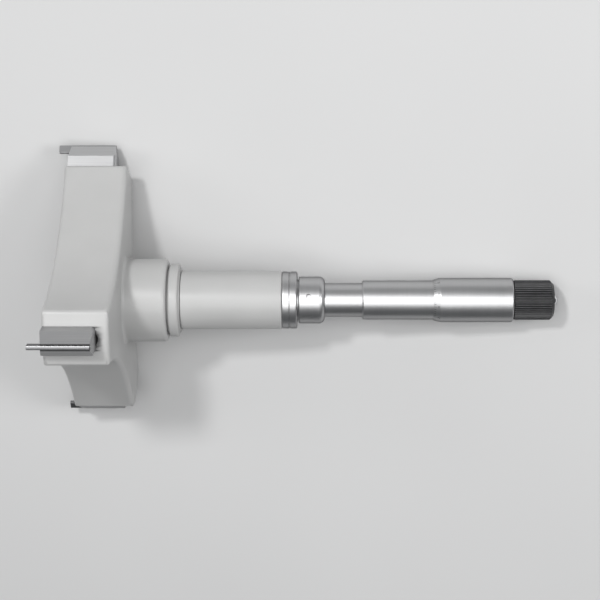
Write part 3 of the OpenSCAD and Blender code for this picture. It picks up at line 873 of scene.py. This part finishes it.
@dataclass(frozen=True)
class Numeral:
    """A number that is printed on a round or tapered face.

    Attributes:
        text: The digits.
        height: Height of the digits in millimetres.
        z: Place of the middle of the number along the axis.
        angle: Angle of its middle about the axis, in degrees.
        proud: Height of the ink over the face, in millimetres.
        bends: Steps in which each half of the number is bent around the face.
        font_size: Size of the font for digits one millimetre high.
        curve_steps: Steps of each curve in a digit.
    """

    text: str
    height: float
    z: float
    angle: float
    proud: float = 0.012
    bends: int = 6
    font_size: float = 1.4
    curve_steps: int = 3

    def flat(self) -> Shape:
        """Sets the number flat, with its middle at the origin.

        Returns:
            The number's faces.
        """
        curve = bpy.data.curves.new(f"number_{self.text}", "FONT")
        curve.body = self.text
        curve.size = self.height * self.font_size
        curve.align_x = "CENTER"
        curve.align_y = "CENTER"
        curve.resolution_u = self.curve_steps
        holder = bpy.data.objects.new(curve.name, curve)
        bpy.context.scene.collection.objects.link(holder)
        graph = bpy.context.evaluated_depsgraph_get()
        mesh = bpy.data.meshes.new_from_object(holder.evaluated_get(graph), depsgraph=graph)
        bpy.data.objects.remove(holder)
        bpy.data.curves.remove(curve)
        shape = bmesh.new()
        shape.from_mesh(mesh)
        bpy.data.meshes.remove(mesh)
        bmesh.ops.remove_doubles(shape, verts=shape.verts, dist=WELD)
        return shape

    def build(self, face: Callable[[float], float], material: Material) -> Piece:
        """Wraps the number around a face.

        Args:
            face: Radius of the face at a place along the axis.
            material: The ink.

        Returns:
            The number as a mesh in the shared frame.
        """
        shape = self.flat()
        for k in range(-self.bends, self.bends + 1):
            level = Vector((0.0, self.height * k / self.bends, 0.0))
            parts = shape.verts[:] + shape.edges[:] + shape.faces[:]
            bmesh.ops.bisect_plane(shape, geom=parts, plane_co=level, plane_no=Vector((0.0, 1.0, 0.0)))
        skin = bmesh.ops.extrude_face_region(shape, geom=shape.faces[:])
        lifted = {v for v in skin["geom"] if isinstance(v, bmesh.types.BMVert)}
        for v in shape.verts:
            z = self.z + v.co.x
            r = face(z) + (self.proud if v in lifted else -self.proud)
            v.co = polar(r, math.radians(self.angle) - v.co.y / face(z), z)
        bmesh.ops.recalc_face_normals(shape, faces=shape.faces)
        return formed(f"number_{self.text}", shape, material, TOOL.matrix())


@dataclass
class Head:
    """Three-armed head with its front cover and cover screws.

    Attributes:
        finishes: The tool's finishes.
        plate_edge: Width of the cover's broken edges.
        screw_n: Number of cover screws.
        screw_pcr: Radius of the circle that they stand on.
        screw_l: Depth of a screw's tip under the front face.
        screw_r: Radius of a screw's head.
        screw_sunk: Depth of the head's flat top under the front face.
        screw_depth: Depth of the head's lower end under it.
        shank_r: Radius of a screw's shank.
        groove_w: Width of the driver's groove.
        groove_depth: Depth of its floor under the front face.
        groove_turn: Angle of the groove to the line from the tool axis.
        rim_steps: Faces around each half of a head.
        around: Faces around a shank.
    """

    finishes: Finishes
    plate_edge: float = 0.3
    screw_n: int = 6
    screw_pcr: float = 20.4
    screw_l: float = 10.0
    screw_r: float = 2.82
    screw_sunk: float = 0.05
    screw_depth: float = 1.35
    shank_r: float = 1.48
    groove_w: float = 0.6
    groove_depth: float = 0.68
    groove_turn: float = 34.0
    rim_steps: int = 12
    around: int = 24

    def build(self) -> None:
        """Builds the casting, the cover and its screws."""
        casting = dressed_copy("head_body", "head_casting", self.finishes.of(Slot.PAINT))
        place(casting, Body.FRAME, Slot.PAINT, "head_body")
        plate = dressed_copy("front_cover", "front_plate", self.finishes.faced, self.plate_edge)
        place(plate, Body.FRAME, Slot.SATIN, "front_cover")
        place(self.screws(), Body.FRAME, Slot.DARK, "cover_screws")

    def screws(self) -> Piece:
        """Builds the ring of countersunk screws.

        Returns:
            The finished ring of screws.
        """
        floor = self.groove_depth
        low_r = self.screw_r - floor
        first = math.asin(self.groove_w / 2.0 / self.screw_r)
        step = (math.pi - 2.0 * first) / self.rim_steps
        shape = bmesh.new()
        for turn in (math.pi, 0.0):
            angles = [first + step * k + turn for k in range(self.rim_steps + 1)]
            top = [shape.verts.new(polar(self.screw_r, a, self.screw_sunk)) for a in angles]
            low = [shape.verts.new(polar(low_r, a, floor)) for a in angles]
            shape.faces.new(top)
            for k in range(self.rim_steps):
                shape.faces.new((top[k], top[k + 1], low[k + 1], low[k]))
            shape.faces.new((top[0], low[0], low[-1], top[-1]))
            shape.faces.new(low)
        bmesh.ops.recalc_face_normals(shape, faces=shape.faces)
        cone = (low_r, floor, self.screw_depth)
        shank = (self.shank_r, self.screw_depth, self.screw_l)
        for r, start, end in (cone, shank):
            bmesh.ops.create_cone(
                shape, cap_ends=True, segments=self.around, radius1=r, radius2=self.shank_r,
                depth=end - start, matrix=Matrix.Translation((0.0, 0.0, (start + end) / 2.0)),
            )
        turn = Matrix.Rotation(math.radians(self.groove_turn), 3, "Z")
        bmesh.ops.rotate(shape, verts=shape.verts, matrix=turn)
        bmesh.ops.translate(shape, verts=shape.verts, vec=(self.screw_pcr, 0.0, 0.0))
        pitch = 360.0 / self.screw_n
        row = Row("cover_screw_ring", Repeat.AROUND, self.screw_n, pitch / 2.0, pitch)
        return smoothed(row.build(shape, self.finishes.of(Slot.DARK)))


@dataclass
class Anvils:
    """Sliding anvils in the arm ends: steel holders with hard-metal bars.

    Attributes:
        finishes: The tool's finishes.
        bodies: Body of the anvil in each arm.
        holder_edge: Width of a holder's broken edges.
        bar_edge: Width of a bar's broken edges.
        seam_w: Width of the painted groove shade on both sides of a bar, together with the bar.
        seam_depth: How far down from the ridge the painted groove shade reaches.
    """

    finishes: Finishes
    bodies: tuple[Body, ...] = ANVILS
    holder_edge: float = 0.22
    bar_edge: float = 0.12
    seam_w: float = 3.6
    seam_depth: float = 1.0

    def build(self) -> None:
        """Builds the three holders and bars."""
        ground, carbide = self.finishes.of(Slot.GROUND), self.finishes.of(Slot.CARBIDE)
        for i, body in enumerate(self.bodies, start=1):
            holder = dressed_copy(f"anvil_holder_{i}", f"anvil_roof_{i}", ground, self.holder_edge)
            self.braze(holder, math.tau * (i - 1) / len(self.bodies))
            place(holder, body, Slot.GROUND, f"anvil_holder_{i}")
            bar = dressed_copy(f"carbide_tip_{i}", f"contact_bar_{i}", carbide, self.bar_edge)
            place(bar, body, Slot.CARBIDE, f"carbide_tip_{i}")

    def braze(self, holder: Piece, arm: float) -> None:
        """Paints shade into the grooves on both sides of a bar, as dark strips on the holder.

        Args:
            holder: The bar's holder.
            arm: Angle of its arm about the tool axis, in radians.
        """
        holder.data.materials.append(self.finishes.seam)
        to_arm = Matrix.Rotation(-arm, 4, "Z") @ TOOL.matrix().inverted()
        spots = [to_arm @ face.center for face in holder.data.polygons]
        ridge = max(spot.x for spot in spots)
        for face, spot in zip(holder.data.polygons, spots):
            # Faces close to the bar and just under the ridge get the painted groove shade.
            if abs(spot.y) < self.seam_w / 2.0 and spot.x > ridge - self.seam_depth:
                face.material_index = 1


@dataclass
class Handle:
    """Hub, coupling ring, handle tube, end ring and clamp nut.

    A name that ends in start, end or floor is a place along the tool axis, apart from groove_start, which is
    counted from the end of the tube. One that ends in r or bore is a radius.
    """

    finishes: Finishes
    head_t: float = 31.8
    pilot_start: float = 28.2
    pilot_r: float = 19.5
    hub_r: float = 21.0
    hub_bore: float = 17.05
    hub_floor: float = 50.4
    hub_end: float = 53.6
    hub_edge: float = 2.0
    cove_r: float = 2.0
    cove_angle: float = 75.0
    cove_steps: int = 6
    spigot_r: float = 12.5
    spigot_bore: float = 9.02
    spigot_end: float = 70.0
    ring_r: float = 18.5
    ring_bead: float = 2.2
    ring_neck_r: float = 16.2
    ring_neck_l: float = 0.8
    ring_tail_l: float = 0.6
    ring_root: float = 0.15
    tube_start: float = 60.0
    tube_end: float = 111.0
    tube_r: float = 14.75
    tube_bore: float = 12.52
    tube_edge: float = 0.8
    plug_r: float = 12.5
    plug_l: float = 8.0
    plug_bore: float = 11.0
    end_ring_r: float = 14.4
    end_ring_edge: float = 0.7
    groove_start: float = 3.42
    groove_w: float = 0.8
    groove_depth: float = 0.4
    groove_edge: float = 0.08
    nut_start: float = 118.6
    collet_start: float = 112.0
    collet_end: float = 129.0
    collet_r: float = 10.2
    collet_bore: float = 8.47

    def build(self) -> None:
        """Builds the painted and the bare pieces of the handle."""
        paint, satin = self.finishes.of(Slot.PAINT), self.finishes.of(Slot.SATIN)
        place(turned("handle_hub", self.hub(), paint), Body.FRAME, Slot.PAINT, "hub")
        place(turned("lock_ring", self.ring(), paint), Body.FRAME, Slot.PAINT, "coupling_ring")
        place(turned("grip_tube", self.tube(), paint), Body.FRAME, Slot.PAINT, "handle_tube")
        place(turned("collet_ring", self.end_ring(), satin), Body.FRAME, Slot.SATIN, "end_ring")
        place(dressed_copy("clamp_nut", "collet_nut", satin), Body.FRAME, Slot.SATIN, "clamp_nut")

    def hub(self) -> list[Corner]:
        """Gives the hub's profile, with its centring rim and the spigot for the handle."""
        r, sweep = self.cove_r, math.radians(self.cove_angle)
        middle_r, middle_z = self.hub_r + r, self.head_t + r * math.sin(sweep)
        cove = []
        for k in range(self.cove_steps + 1):
            a = math.pi + sweep * (1.0 - k / self.cove_steps)
            cove.append(Corner(middle_r + r * math.cos(a), middle_z + r * math.sin(a)))
        return [
            Corner(self.hub_bore, self.pilot_start),
            Corner(self.pilot_r, self.pilot_start),
            Corner(self.pilot_r, self.head_t),
            *cove,
            Corner(self.hub_r, self.hub_end, self.hub_edge),
            Corner(self.spigot_r, self.hub_end),
            Corner(self.spigot_r, self.spigot_end),
            Corner(self.spigot_bore, self.spigot_end),
            Corner(self.spigot_bore, self.hub_floor),
            Corner(self.hub_bore, self.hub_floor),
        ]

    def ring(self) -> list[Corner]:
        """Gives the coupling ring's profile: a rounded bead between two low collars."""
        bead_start, bead_end = self.hub_end + self.ring_neck_l, self.tube_start - self.ring_tail_l
        return [
            Corner(self.tube_bore, self.hub_end),
            Corner(self.ring_neck_r, self.hub_end),
            Corner(self.ring_neck_r, bead_start, self.ring_root),
            Corner(self.ring_r, bead_start, self.ring_bead),
            Corner(self.ring_r, bead_end, self.ring_bead),
            Corner(self.ring_neck_r, bead_end, self.ring_root),
            Corner(self.ring_neck_r, self.tube_start),
            Corner(self.tube_bore, self.tube_start),
        ]

    def tube(self) -> list[Corner]:
        """Gives the handle tube's profile."""
        return [
            Corner(self.tube_bore, self.tube_start),
            Corner(self.tube_r, self.tube_start, self.tube_edge),
            Corner(self.tube_r, self.tube_end, self.tube_edge),
            Corner(self.tube_bore, self.tube_end),
        ]

    def end_ring(self) -> list[Corner]:
        """Gives the end ring's profile, with its fine groove, the plug for the tube and the collet."""
        plug_start, low_r = self.tube_end - self.plug_l, self.end_ring_r - self.groove_depth
        groove, slope = self.tube_end + self.groove_start, self.groove_w / 4.0
        groove_end = groove + self.groove_w
        return [
            Corner(self.plug_bore, plug_start),
            Corner(self.plug_r, plug_start),
            Corner(self.plug_r, self.tube_end),
            Corner(self.end_ring_r, self.tube_end, self.end_ring_edge),
            Corner(self.end_ring_r, groove, self.groove_edge),
            Corner(low_r, groove + slope, self.groove_edge),
            Corner(low_r, groove_end - slope, self.groove_edge),
            Corner(self.end_ring_r, groove_end, self.groove_edge),
            Corner(self.end_ring_r, self.nut_start, self.end_ring_edge),
            Corner(self.collet_r, self.nut_start),
            Corner(self.collet_r, self.collet_end),
            Corner(self.collet_bore, self.collet_end),
            Corner(self.collet_bore, self.collet_start),
            Corner(self.plug_bore, self.collet_start),
        ]


@dataclass
class MicrometerHead:
    """Neck, graduated sleeve and thimble with their scales.

    A name that ends in start or end is a place along the tool axis, and one that ends in r or bore a radius.

    Attributes:
        scale_angle: Angle of the scales about the tool axis.
        scale_zero: Place of the lowest line of the sleeve's scale.
        scale_low: Its lowest number.
        scale_high: Its highest number.
        divisions: Lines around the thimble.
        numbered: Divisions from one number to the next.
        line_w: Width of a line.
        proud: Height of the ink over the face.
        line_steps: Steps of a line that bends around the sleeve.
        datum_lead: Distance from the front of the sleeve to the datum line.
        datum_tail: Distance from the datum line to the rear of the sleeve.
        whole_l: Length of a whole line of the sleeve, around it.
        numbered_l: Length of a numbered line.
        half_l: Length of a half line, on the other side of the datum line.
        numeral_gap: Distance around the sleeve from the datum line to the middle of a number.
        numeral_h: Height of the sleeve's numbers.
        bevel_gap: Distance from the thimble's front edge to its lines.
        unit_l: Length of a line of the thimble.
        long_l: Length of a numbered line of the thimble.
        bevel_numeral_z: Distance from the thimble's front edge to the middle of a number.
        bevel_numeral_h: Height of the thimble's numbers.
    """

    finishes: Finishes
    neck_start: float = 112.0
    neck_r: float = 8.45
    neck_bore: float = 5.2
    thread_start: float = 173.7
    thread_bore: float = 4.05
    adjust_r: float = 7.6
    barrel_end: float = 211.7
    sleeve_start: float = 151.5
    sleeve_end: float = 208.2
    sleeve_r: float = 9.85
    sleeve_bore: float = 8.47
    sleeve_edge: float = 0.5
    thimble_start: float = 187.2
    thimble_end: float = 227.1
    thimble_r: float = 11.15
    thimble_bore: float = 9.9
    thimble_edge: float = 0.6
    bevel_l: float = 3.4
    bevel_r: float = 10.25
    rear_wall_t: float = 5.0
    rear_bore: float = 3.02
    scale_angle: float = 112.0
    scale_zero: float = 202.2
    scale_low: int = 150
    scale_high: int = 175
    divisions: int = 50
    numbered: int = 5
    line_w: float = 0.15
    proud: float = 0.012
    line_steps: int = 6
    datum_lead: float = 12.0
    datum_tail: float = 0.5
    whole_l: float = 2.1
    numbered_l: float = 3.1
    half_l: float = 1.7
    numeral_gap: float = 4.5
    numeral_h: float = 1.9
    bevel_gap: float = 0.12
    unit_l: float = 0.95
    long_l: float = 1.45
    bevel_numeral_z: float = 2.4
    bevel_numeral_h: float = 1.0

    def build(self) -> None:
        """Builds the turned pieces and the lines and numbers of both scales."""
        satin = self.finishes.of(Slot.SATIN)
        place(turned("neck_barrel", self.barrel(), satin), Body.FRAME, Slot.SATIN, "barrel")
        place(turned("scale_sleeve", self.sleeve(), satin), Body.FRAME, Slot.SATIN, "graduated_sleeve")
        place(turned("thimble_shell", self.thimble(), satin, around=192), Body.THIMBLE, Slot.SATIN, "thimble")
        place(self.sleeve_scale(), Body.FRAME, Slot.DARK)
        place(self.thimble_scale(), Body.THIMBLE, Slot.DARK)

    def barrel(self) -> list[Corner]:
        """Gives the barrel's profile, from the collet to the adjusting thread."""
        return [
            Corner(self.neck_bore, self.neck_start),
            Corner(self.neck_r, self.neck_start),
            Corner(self.neck_r, self.sleeve_end),
            Corner(self.adjust_r, self.sleeve_end),
            Corner(self.adjust_r, self.barrel_end),
            Corner(self.thread_bore, self.barrel_end),
            Corner(self.thread_bore, self.thread_start),
            Corner(self.neck_bore, self.thread_start),
        ]

    def sleeve(self) -> list[Corner]:
        """Gives the sleeve's profile."""
        edge = self.sleeve_edge
        return [
            Corner(self.sleeve_bore, self.sleeve_start),
            Corner(self.sleeve_r - edge, self.sleeve_start, rounding=0.08),
            Corner(self.sleeve_r, self.sleeve_start + edge, rounding=0.2),
            Corner(self.sleeve_r, self.sleeve_end),
            Corner(self.sleeve_bore, self.sleeve_end),
        ]

    def thimble(self) -> list[Corner]:
        """Gives the thimble's profile, with the bevel for its scale."""
        start, end, edge = self.thimble_start, self.thimble_end, self.thimble_edge
        return [
            Corner(self.thimble_bore, start),
            Corner(self.bevel_r, start, rounding=0.05),
            Corner(self.thimble_r, start + self.bevel_l, rounding=0.25),
            Corner(self.thimble_r, end - edge, rounding=0.2),
            Corner(self.thimble_r - edge, end, rounding=0.15),
            Corner(self.rear_bore, end),
            Corner(self.rear_bore, end - self.rear_wall_t),
            Corner(self.thimble_bore, end - self.rear_wall_t),
        ]

    def stroke(self, stations: Sequence[tuple[Vector, Vector, Vector]]) -> Shape:
        """Makes a line of ink.

        Args:
            stations: Points that the line goes through, each with its outward direction and the direction
                across the line.

        Returns:
            The line as a thin closed solid.
        """
        half, proud = self.line_w / 2.0, self.proud
        corners = ((-proud, -half), (proud, -half), (proud, half), (-proud, half))
        return prism([[spot + out * h + across * w for h, w in corners] for spot, out, across in stations])

    def arc_line(self, span: float) -> Shape:
        """Makes one line of the sleeve's scale, at the start of the tool axis.

        Args:
            span: Length of the line around the sleeve, to one side of the datum line.

        Returns:
            The line as a thin closed solid.
        """
        first, across = math.radians(self.scale_angle), Vector((0.0, 0.0, 1.0))
        stations = []
        for k in range(self.line_steps + 1):
            out = polar(1.0, first - span / self.sleeve_r * k / self.line_steps, 0.0)
            stations.append((out * self.sleeve_r, out, across))
        return self.stroke(stations)

    def datum_line(self) -> Shape:
        """Makes the line along the sleeve that the thimble is read against."""
        a = math.radians(self.scale_angle)
        out, across = polar(1.0, a, 0.0), polar(1.0, a + math.pi / 2.0, 0.0)
        ends = (self.sleeve_start + self.datum_lead, self.sleeve_end - self.datum_tail)
        return self.stroke([(polar(self.sleeve_r, a, z), out, across) for z in ends])

    def sleeve_scale(self) -> Piece:
        """Builds the sleeve's lines and numbers.

        Returns:
            The finished scale as one piece.
        """
        ink, span, every = self.finishes.ink, self.scale_high - self.scale_low, self.numbered
        last = self.scale_zero - span
        rows = [
            Row("whole_lines", Repeat.ALONG, span + 1, last, 1.0).build(self.arc_line(self.whole_l), ink),
            Row("five_lines", Repeat.ALONG, span // every + 1, last, every).build(
                self.arc_line(self.numbered_l), ink
            ),
            Row("half_lines", Repeat.ALONG, span, last + 0.5, 1.0).build(self.arc_line(-self.half_l), ink),
            Row("datum", Repeat.ALONG, 1, 0.0, 1.0).build(self.datum_line(), ink),
        ]
        angle = self.scale_angle - math.degrees(self.numeral_gap / self.sleeve_r)
        for value in range(self.scale_low, self.scale_high + 1, every):
            z = self.scale_zero - (value - self.scale_low)
            rows.append(Numeral(str(value), self.numeral_h, z, angle).build(lambda at: self.sleeve_r, ink))
        return joined("sleeve_scale", rows)

    def bevel_face(self, z: float) -> float:
        """Gives the radius of the thimble's bevel at a place along the axis."""
        return self.bevel_r + (self.thimble_r - self.bevel_r) * (z - self.thimble_start) / self.bevel_l

    def bevel_line(self, length: float) -> Shape:
        """Makes one line of the thimble's scale.

        Args:
            length: Length of the line along the axis.

        Returns:
            The line as a thin closed solid.
        """
        out, across = Vector((1.0, 0.0, 0.0)), Vector((0.0, 1.0, 0.0))
        start = self.thimble_start + self.bevel_gap
        ends = (start, start + length)
        return self.stroke([(polar(self.bevel_face(z), 0.0, z), out, across) for z in ends])

    def thimble_scale(self) -> Piece:
        """Builds the thimble's lines and numbers.

        Returns:
            The finished scale as one piece.
        """
        ink, first, every = self.finishes.ink, self.scale_angle, self.numbered
        step = 360.0 / self.divisions
        units = Row("unit_lines", Repeat.AROUND, self.divisions, first, step)
        longs = Row("long_lines", Repeat.AROUND, self.divisions // every, first, every * step)
        rows = [
            units.build(self.bevel_line(self.unit_l), ink),
            longs.build(self.bevel_line(self.long_l), ink),
        ]
        z = self.thimble_start + self.bevel_numeral_z
        for value in range(0, self.divisions, every):
            number = Numeral(str(value), self.bevel_numeral_h, z, first + value * step)
            rows.append(number.build(self.bevel_face, ink))
        return joined("thimble_scale", rows)


@dataclass
class Ratchet:
    """Black knurled ratchet knob with the bright button of its screw.

    A name that ends in r or bore is a radius.

    Attributes:
        finishes: The tool's finishes.
        start: Place of the knob's front along the tool axis.
        end: Place of its rear.
        web_start: Place of the front of the wall inside the knob.
        web_end: Place of the rear of that wall.
        front_edge: Width of the front chamfer.
        chamfer: Width of the rear chamfer.
        ridges: Number of ridges around the knob.
        ridge_sink: Depth of a ridge's foot in the knob.
        ridge_share: Share of the pitch that a ridge's foot takes.
        shoulder_h: Height of a ridge's shoulder, as a share of its height.
        shoulder_w: Width of the shoulder, as a share of the foot.
        crest_w: Width of the crest, as a share of the foot.
        lead_gap: Distance from the knob's front to the ridges.
        lead_h: Height of the ridges there over their foot.
        lead_l: Distance from the knob's front to where the ridges have their full height.
        tail_gap: Distance from the end of the full ridges to the rear chamfer.
        tail_h: Height of the ridges over their foot at their end.
        screw_start: Place of the screw's tip along the tool axis.
        screw_head_start: Place of the front of its head.
        screw_sunk: Depth of the head under the rear of the knob.
        button_h: Height of the button over the rear of the knob.
        dome_steps: Steps of the button's dome.
    """

    finishes: Finishes
    start: float = 227.5
    end: float = 247.5
    knob_r: float = 10.0
    root_r: float = 9.55
    clutch_bore: float = 7.4
    web_start: float = 232.3
    web_end: float = 235.5
    web_bore: float = 2.05
    recess_r: float = 5.8
    front_edge: float = 0.15
    chamfer: float = 1.8
    ridges: int = 48
    ridge_sink: float = 0.12
    ridge_share: float = 0.86
    shoulder_h: float = 0.72
    shoulder_w: float = 0.5
    crest_w: float = 0.22
    lead_gap: float = 0.1
    lead_h: float = 0.2
    lead_l: float = 0.6
    tail_gap: float = 0.05
    tail_h: float = 0.02
    screw_start: float = 225.1
    shank_r: float = 2.0
    screw_head_start: float = 244.1
    screw_head_r: float = 5.4
    screw_sunk: float = 0.4
    button_r: float = 2.9
    button_h: float = 2.4
    dome_steps: int = 9

    def build(self) -> None:
        """Builds the knob, its ridges and the screw."""
        black = self.finishes.of(Slot.KNURL)
        place(turned("ratchet_core", self.core(), black), Body.RATCHET, Slot.KNURL, "ratchet_knob")
        place(self.knurl(), Body.RATCHET, Slot.KNURL)
        screw = turned("ratchet_button", self.screw(), self.finishes.of(Slot.POLISHED), around=96)
        place(screw, Body.THIMBLE, Slot.POLISHED, "ratchet_screw")

    def core(self) -> list[Corner]:
        """Gives the profile of the knob under its ridges."""
        flat_r, edge = self.knob_r - self.chamfer, self.front_edge
        return [
            Corner(self.clutch_bore, self.start),
            Corner(self.root_r - edge, self.start, rounding=0.05),
            Corner(self.root_r, self.start + edge, rounding=0.05),
            Corner(self.root_r, self.end - self.root_r + flat_r, rounding=0.2),
            Corner(flat_r, self.end, rounding=0.3),
            Corner(self.recess_r, self.end, rounding=0.2),
            Corner(self.recess_r, self.web_end),
            Corner(self.web_bore, self.web_end),
            Corner(self.web_bore, self.web_start),
            Corner(self.clutch_bore, self.web_start),
        ]

    def knurl(self) -> Piece:
        """Builds the straight knurl.

        Returns:
            The ring of ridges.
        """
        foot = self.root_r - self.ridge_sink
        half = math.pi * self.root_r / self.ridges * self.ridge_share
        rim = self.end - self.chamfer
        stations = (
            (self.start + self.lead_gap, foot + self.lead_h),
            (self.start + self.lead_l, self.knob_r),
            (rim - self.tail_gap, self.knob_r),
            (rim + self.knob_r - foot, foot + self.tail_h),
        )
        sections = []
        for z, top in stations:
            shoulder = foot + self.shoulder_h * (top - foot)
            flank = [(foot, half), (shoulder, self.shoulder_w * half), (top, self.crest_w * half)]
            left = [Vector((r, -w, z)) for r, w in flank]
            right = [Vector((r, w, z)) for r, w in reversed(flank)]
            sections.append(left + right)
        row = Row("ratchet_ridges", Repeat.AROUND, self.ridges, 0.0, 360.0 / self.ridges)
        return smoothed(row.build(prism(sections), self.finishes.of(Slot.KNURL)), sharp=50.0)

    def screw(self) -> list[Corner]:
        """Gives the ratchet screw's profile, with its round button."""
        sphere = (self.button_r**2 + self.button_h**2) / (2.0 * self.button_h)
        middle = self.end + self.button_h - sphere
        half = math.asin(self.button_r / sphere)
        dome = []
        for k in range(1, self.dome_steps + 1):
            a = half * (1.0 - k / self.dome_steps)
            dome.append(Corner(sphere * math.sin(a), middle + sphere * math.cos(a)))
        return [
            Corner(0.0, self.screw_start),
            Corner(self.shank_r, self.screw_start),
            Corner(self.shank_r, self.screw_head_start),
            Corner(self.screw_head_r, self.screw_head_start),
            Corner(self.screw_head_r, self.end - self.screw_sunk, rounding=0.25),
            Corner(self.button_r, self.end - self.screw_sunk),
            Corner(self.button_r, self.end),
            *dome,
        ]


@dataclass
class Springs:
    """Coil springs between the frame and the bodies that squeeze them.

    Attributes:
        finishes: The tool's finishes.
        anvils: Body of the anvil in each arm.
        sharp: Angle in degrees from which an edge of the wire stays sharp.
    """

    finishes: Finishes
    anvils: tuple[Body, ...] = ANVILS
    sharp: float = 75.0

    def build(self) -> None:
        """Builds the feed spring and the return spring of each arm."""
        self.coil("feed_spring", "feed_coil", Body.CARRIAGE)
        for i, body in enumerate(self.anvils):
            self.coil(f"return_spring_{i + 1}", f"return_coil_{i + 1}", body)

    def coil(self, node: str, name: str, body: Body) -> None:
        """Builds one spring as a smoothed copy of its solid, fixed in place.

        Args:
            node: Its solid.
            name: Name of the piece.
            body: Body at its moving end.
        """
        piece = dressed_copy(node, name, self.finishes.of(Slot.SPRING), sharp=self.sharp)
        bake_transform(piece)
        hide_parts(node)
        LOG.info("%s: %d faces, between frame and %s", name, len(piece.data.polygons), body.value)


@dataclass
class InnerPieces:
    """Solids that keep their own shape: the rods, bushes and drive inside the tool.

    Attributes:
        finishes: The tool's finishes.
        slots: Solids of each slot.
    """

    finishes: Finishes
    slots: dict[Slot, tuple[str, ...]] = field(
        default_factory=lambda: {
            Slot.TOOL: (
                *(f"measuring_rod_{i}" for i in range(1, len(ANVILS) + 1)),
                "expanding_cone", "push_rod", "spindle",
            ),
            Slot.POLISHED: ("thrust_ball",),
            Slot.SPRING: ("ratchet_spring",),
            Slot.BRONZE: ("rod_bushes", "guide_bush"),
            Slot.DARK: ("guide_pin", "adjusting_nut", "clutch_nut"),
            Slot.LINING: ("clutch_disc",),
        }
    )

    def dress(self) -> None:
        """Gives each inner solid its finish."""
        for slot, nodes in self.slots.items():
            for node in nodes:
                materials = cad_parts[node].data.materials
                materials.clear()
                materials.append(self.finishes.of(slot))
                LOG.info("%s: finished as %s", node, slot.value)


@dataclass(frozen=True)
class Softbox:
    """A square soft light.

    Attributes:
        name: Name of the light.
        where: Its place in metres.
        size: Length of its side in metres.
        power: Its power in watts.
    """

    name: str
    where: tuple[float, float, float]
    size: float
    power: float

    def hang(self, target: Vector) -> None:
        """Hangs the light so that it points at a target.

        Args:
            target: The target in metres.
        """
        light = bpy.data.lights.new(self.name, "AREA")
        light.size = self.size
        light.energy = self.power
        lamp = bpy.data.objects.new(self.name, light)
        bpy.context.scene.collection.objects.link(lamp)
        spot = Vector(self.where)
        turn = (spot - target).normalized().to_track_quat("Z", "Y").to_matrix().to_4x4()
        lamp.matrix_world = Matrix.Translation(spot) @ turn


@dataclass
class Studio:
    """Pale floor, soft light and the camera.

    Attributes:
        camera_back: Place on the tool axis that the camera stands over, in millimetres.
        camera_distance: Distance of the camera from there, in metres.
        camera_lean: Angle of the camera off the upright arm.
        aim: Place on the tool axis that the camera looks at, in millimetres.
        field_angle: The camera's field of view.
        floor_half: Half the floor's side in metres.
        sky: Linear colour of the light all around.
        sky_strength: Its strength.
        target: Point in metres that the lights point at.
        lights: The lights.
    """

    camera_back: float = 138.0
    camera_distance: float = 0.878
    camera_lean: float = 15.65
    aim: float = 120.0
    field_angle: float = 19.6
    floor_half: float = 4.0
    sky: Colour = (0.9, 0.95, 1.0)
    sky_strength: float = 0.08
    target: tuple[float, float, float] = (0.0, 0.0, 0.03)
    lights: tuple[Softbox, ...] = (
        Softbox("key_light", (-0.24, 0.60, 1.05), 0.12, 5.4),
        Softbox("overhead_light", (0.05, 0.20, 1.35), 1.15, 11.0),
        Softbox("far_light", (-0.10, 1.30, 0.40), 0.8, 0.5),
        Softbox("right_light", (0.85, 0.25, 0.78), 0.4, 5.6),
        Softbox("front_light", (-1.05, 0.30, 0.50), 0.5, 2.6),
    )

    def build(self) -> None:
        """Builds the floor, the lights and the camera."""
        self.floor()
        self.world()
        for light in self.lights:
            light.hang(Vector(self.target))
        self.camera()

    def floor(self) -> None:
        """Lays a wide pale floor under the tool."""
        shape = bmesh.new()
        bmesh.ops.create_grid(shape, x_segments=2, y_segments=2, size=self.floor_half)
        formed("floor", shape, PaleFloor().material())

    def world(self) -> None:
        """Sets a dim even light all around."""
        world = bpy.data.worlds.new("studio")
        world.use_nodes = True
        background = world.node_tree.nodes["Background"]
        background.inputs["Color"].default_value = (*self.sky, 1.0)
        background.inputs["Strength"].default_value = self.sky_strength
        bpy.context.scene.world = world

    def camera(self) -> None:
        """Sets the camera over the tool, with the tool axis level in the picture."""
        lean = math.radians(self.camera_lean)
        away = TOOL.upright * math.cos(lean) + Vector((0.0, math.sin(lean), 0.0))
        spot = TOOL.point(self.camera_back) + away * self.camera_distance
        back = (spot - TOOL.point(self.aim)).normalized()
        right = (TOOL.along - back * TOOL.along.dot(back)).normalized()
        turn = Matrix((right, back.cross(right), back)).transposed().to_4x4()
        lens = bpy.data.cameras.new("camera")
        lens.angle = math.radians(self.field_angle)
        eye = bpy.data.objects.new("camera", lens)
        eye.matrix_world = Matrix.Translation(spot) @ turn
        bpy.context.scene.collection.objects.link(eye)
        bpy.context.scene.camera = eye


def main() -> None:
    """Builds every sub-assembly in order."""
    logging.basicConfig(level=logging.INFO, format="%(name)s: %(message)s")
    bpy.context.scene.view_settings.view_transform = "Standard"
    finishes = Finishes()
    Head(finishes).build()
    Anvils(finishes).build()
    Handle(finishes).build()
    MicrometerHead(finishes).build()
    Ratchet(finishes).build()
    Springs(finishes).build()
    InnerPieces(finishes).dress()
    Studio().build()


if __name__ == "__main__":
    main()
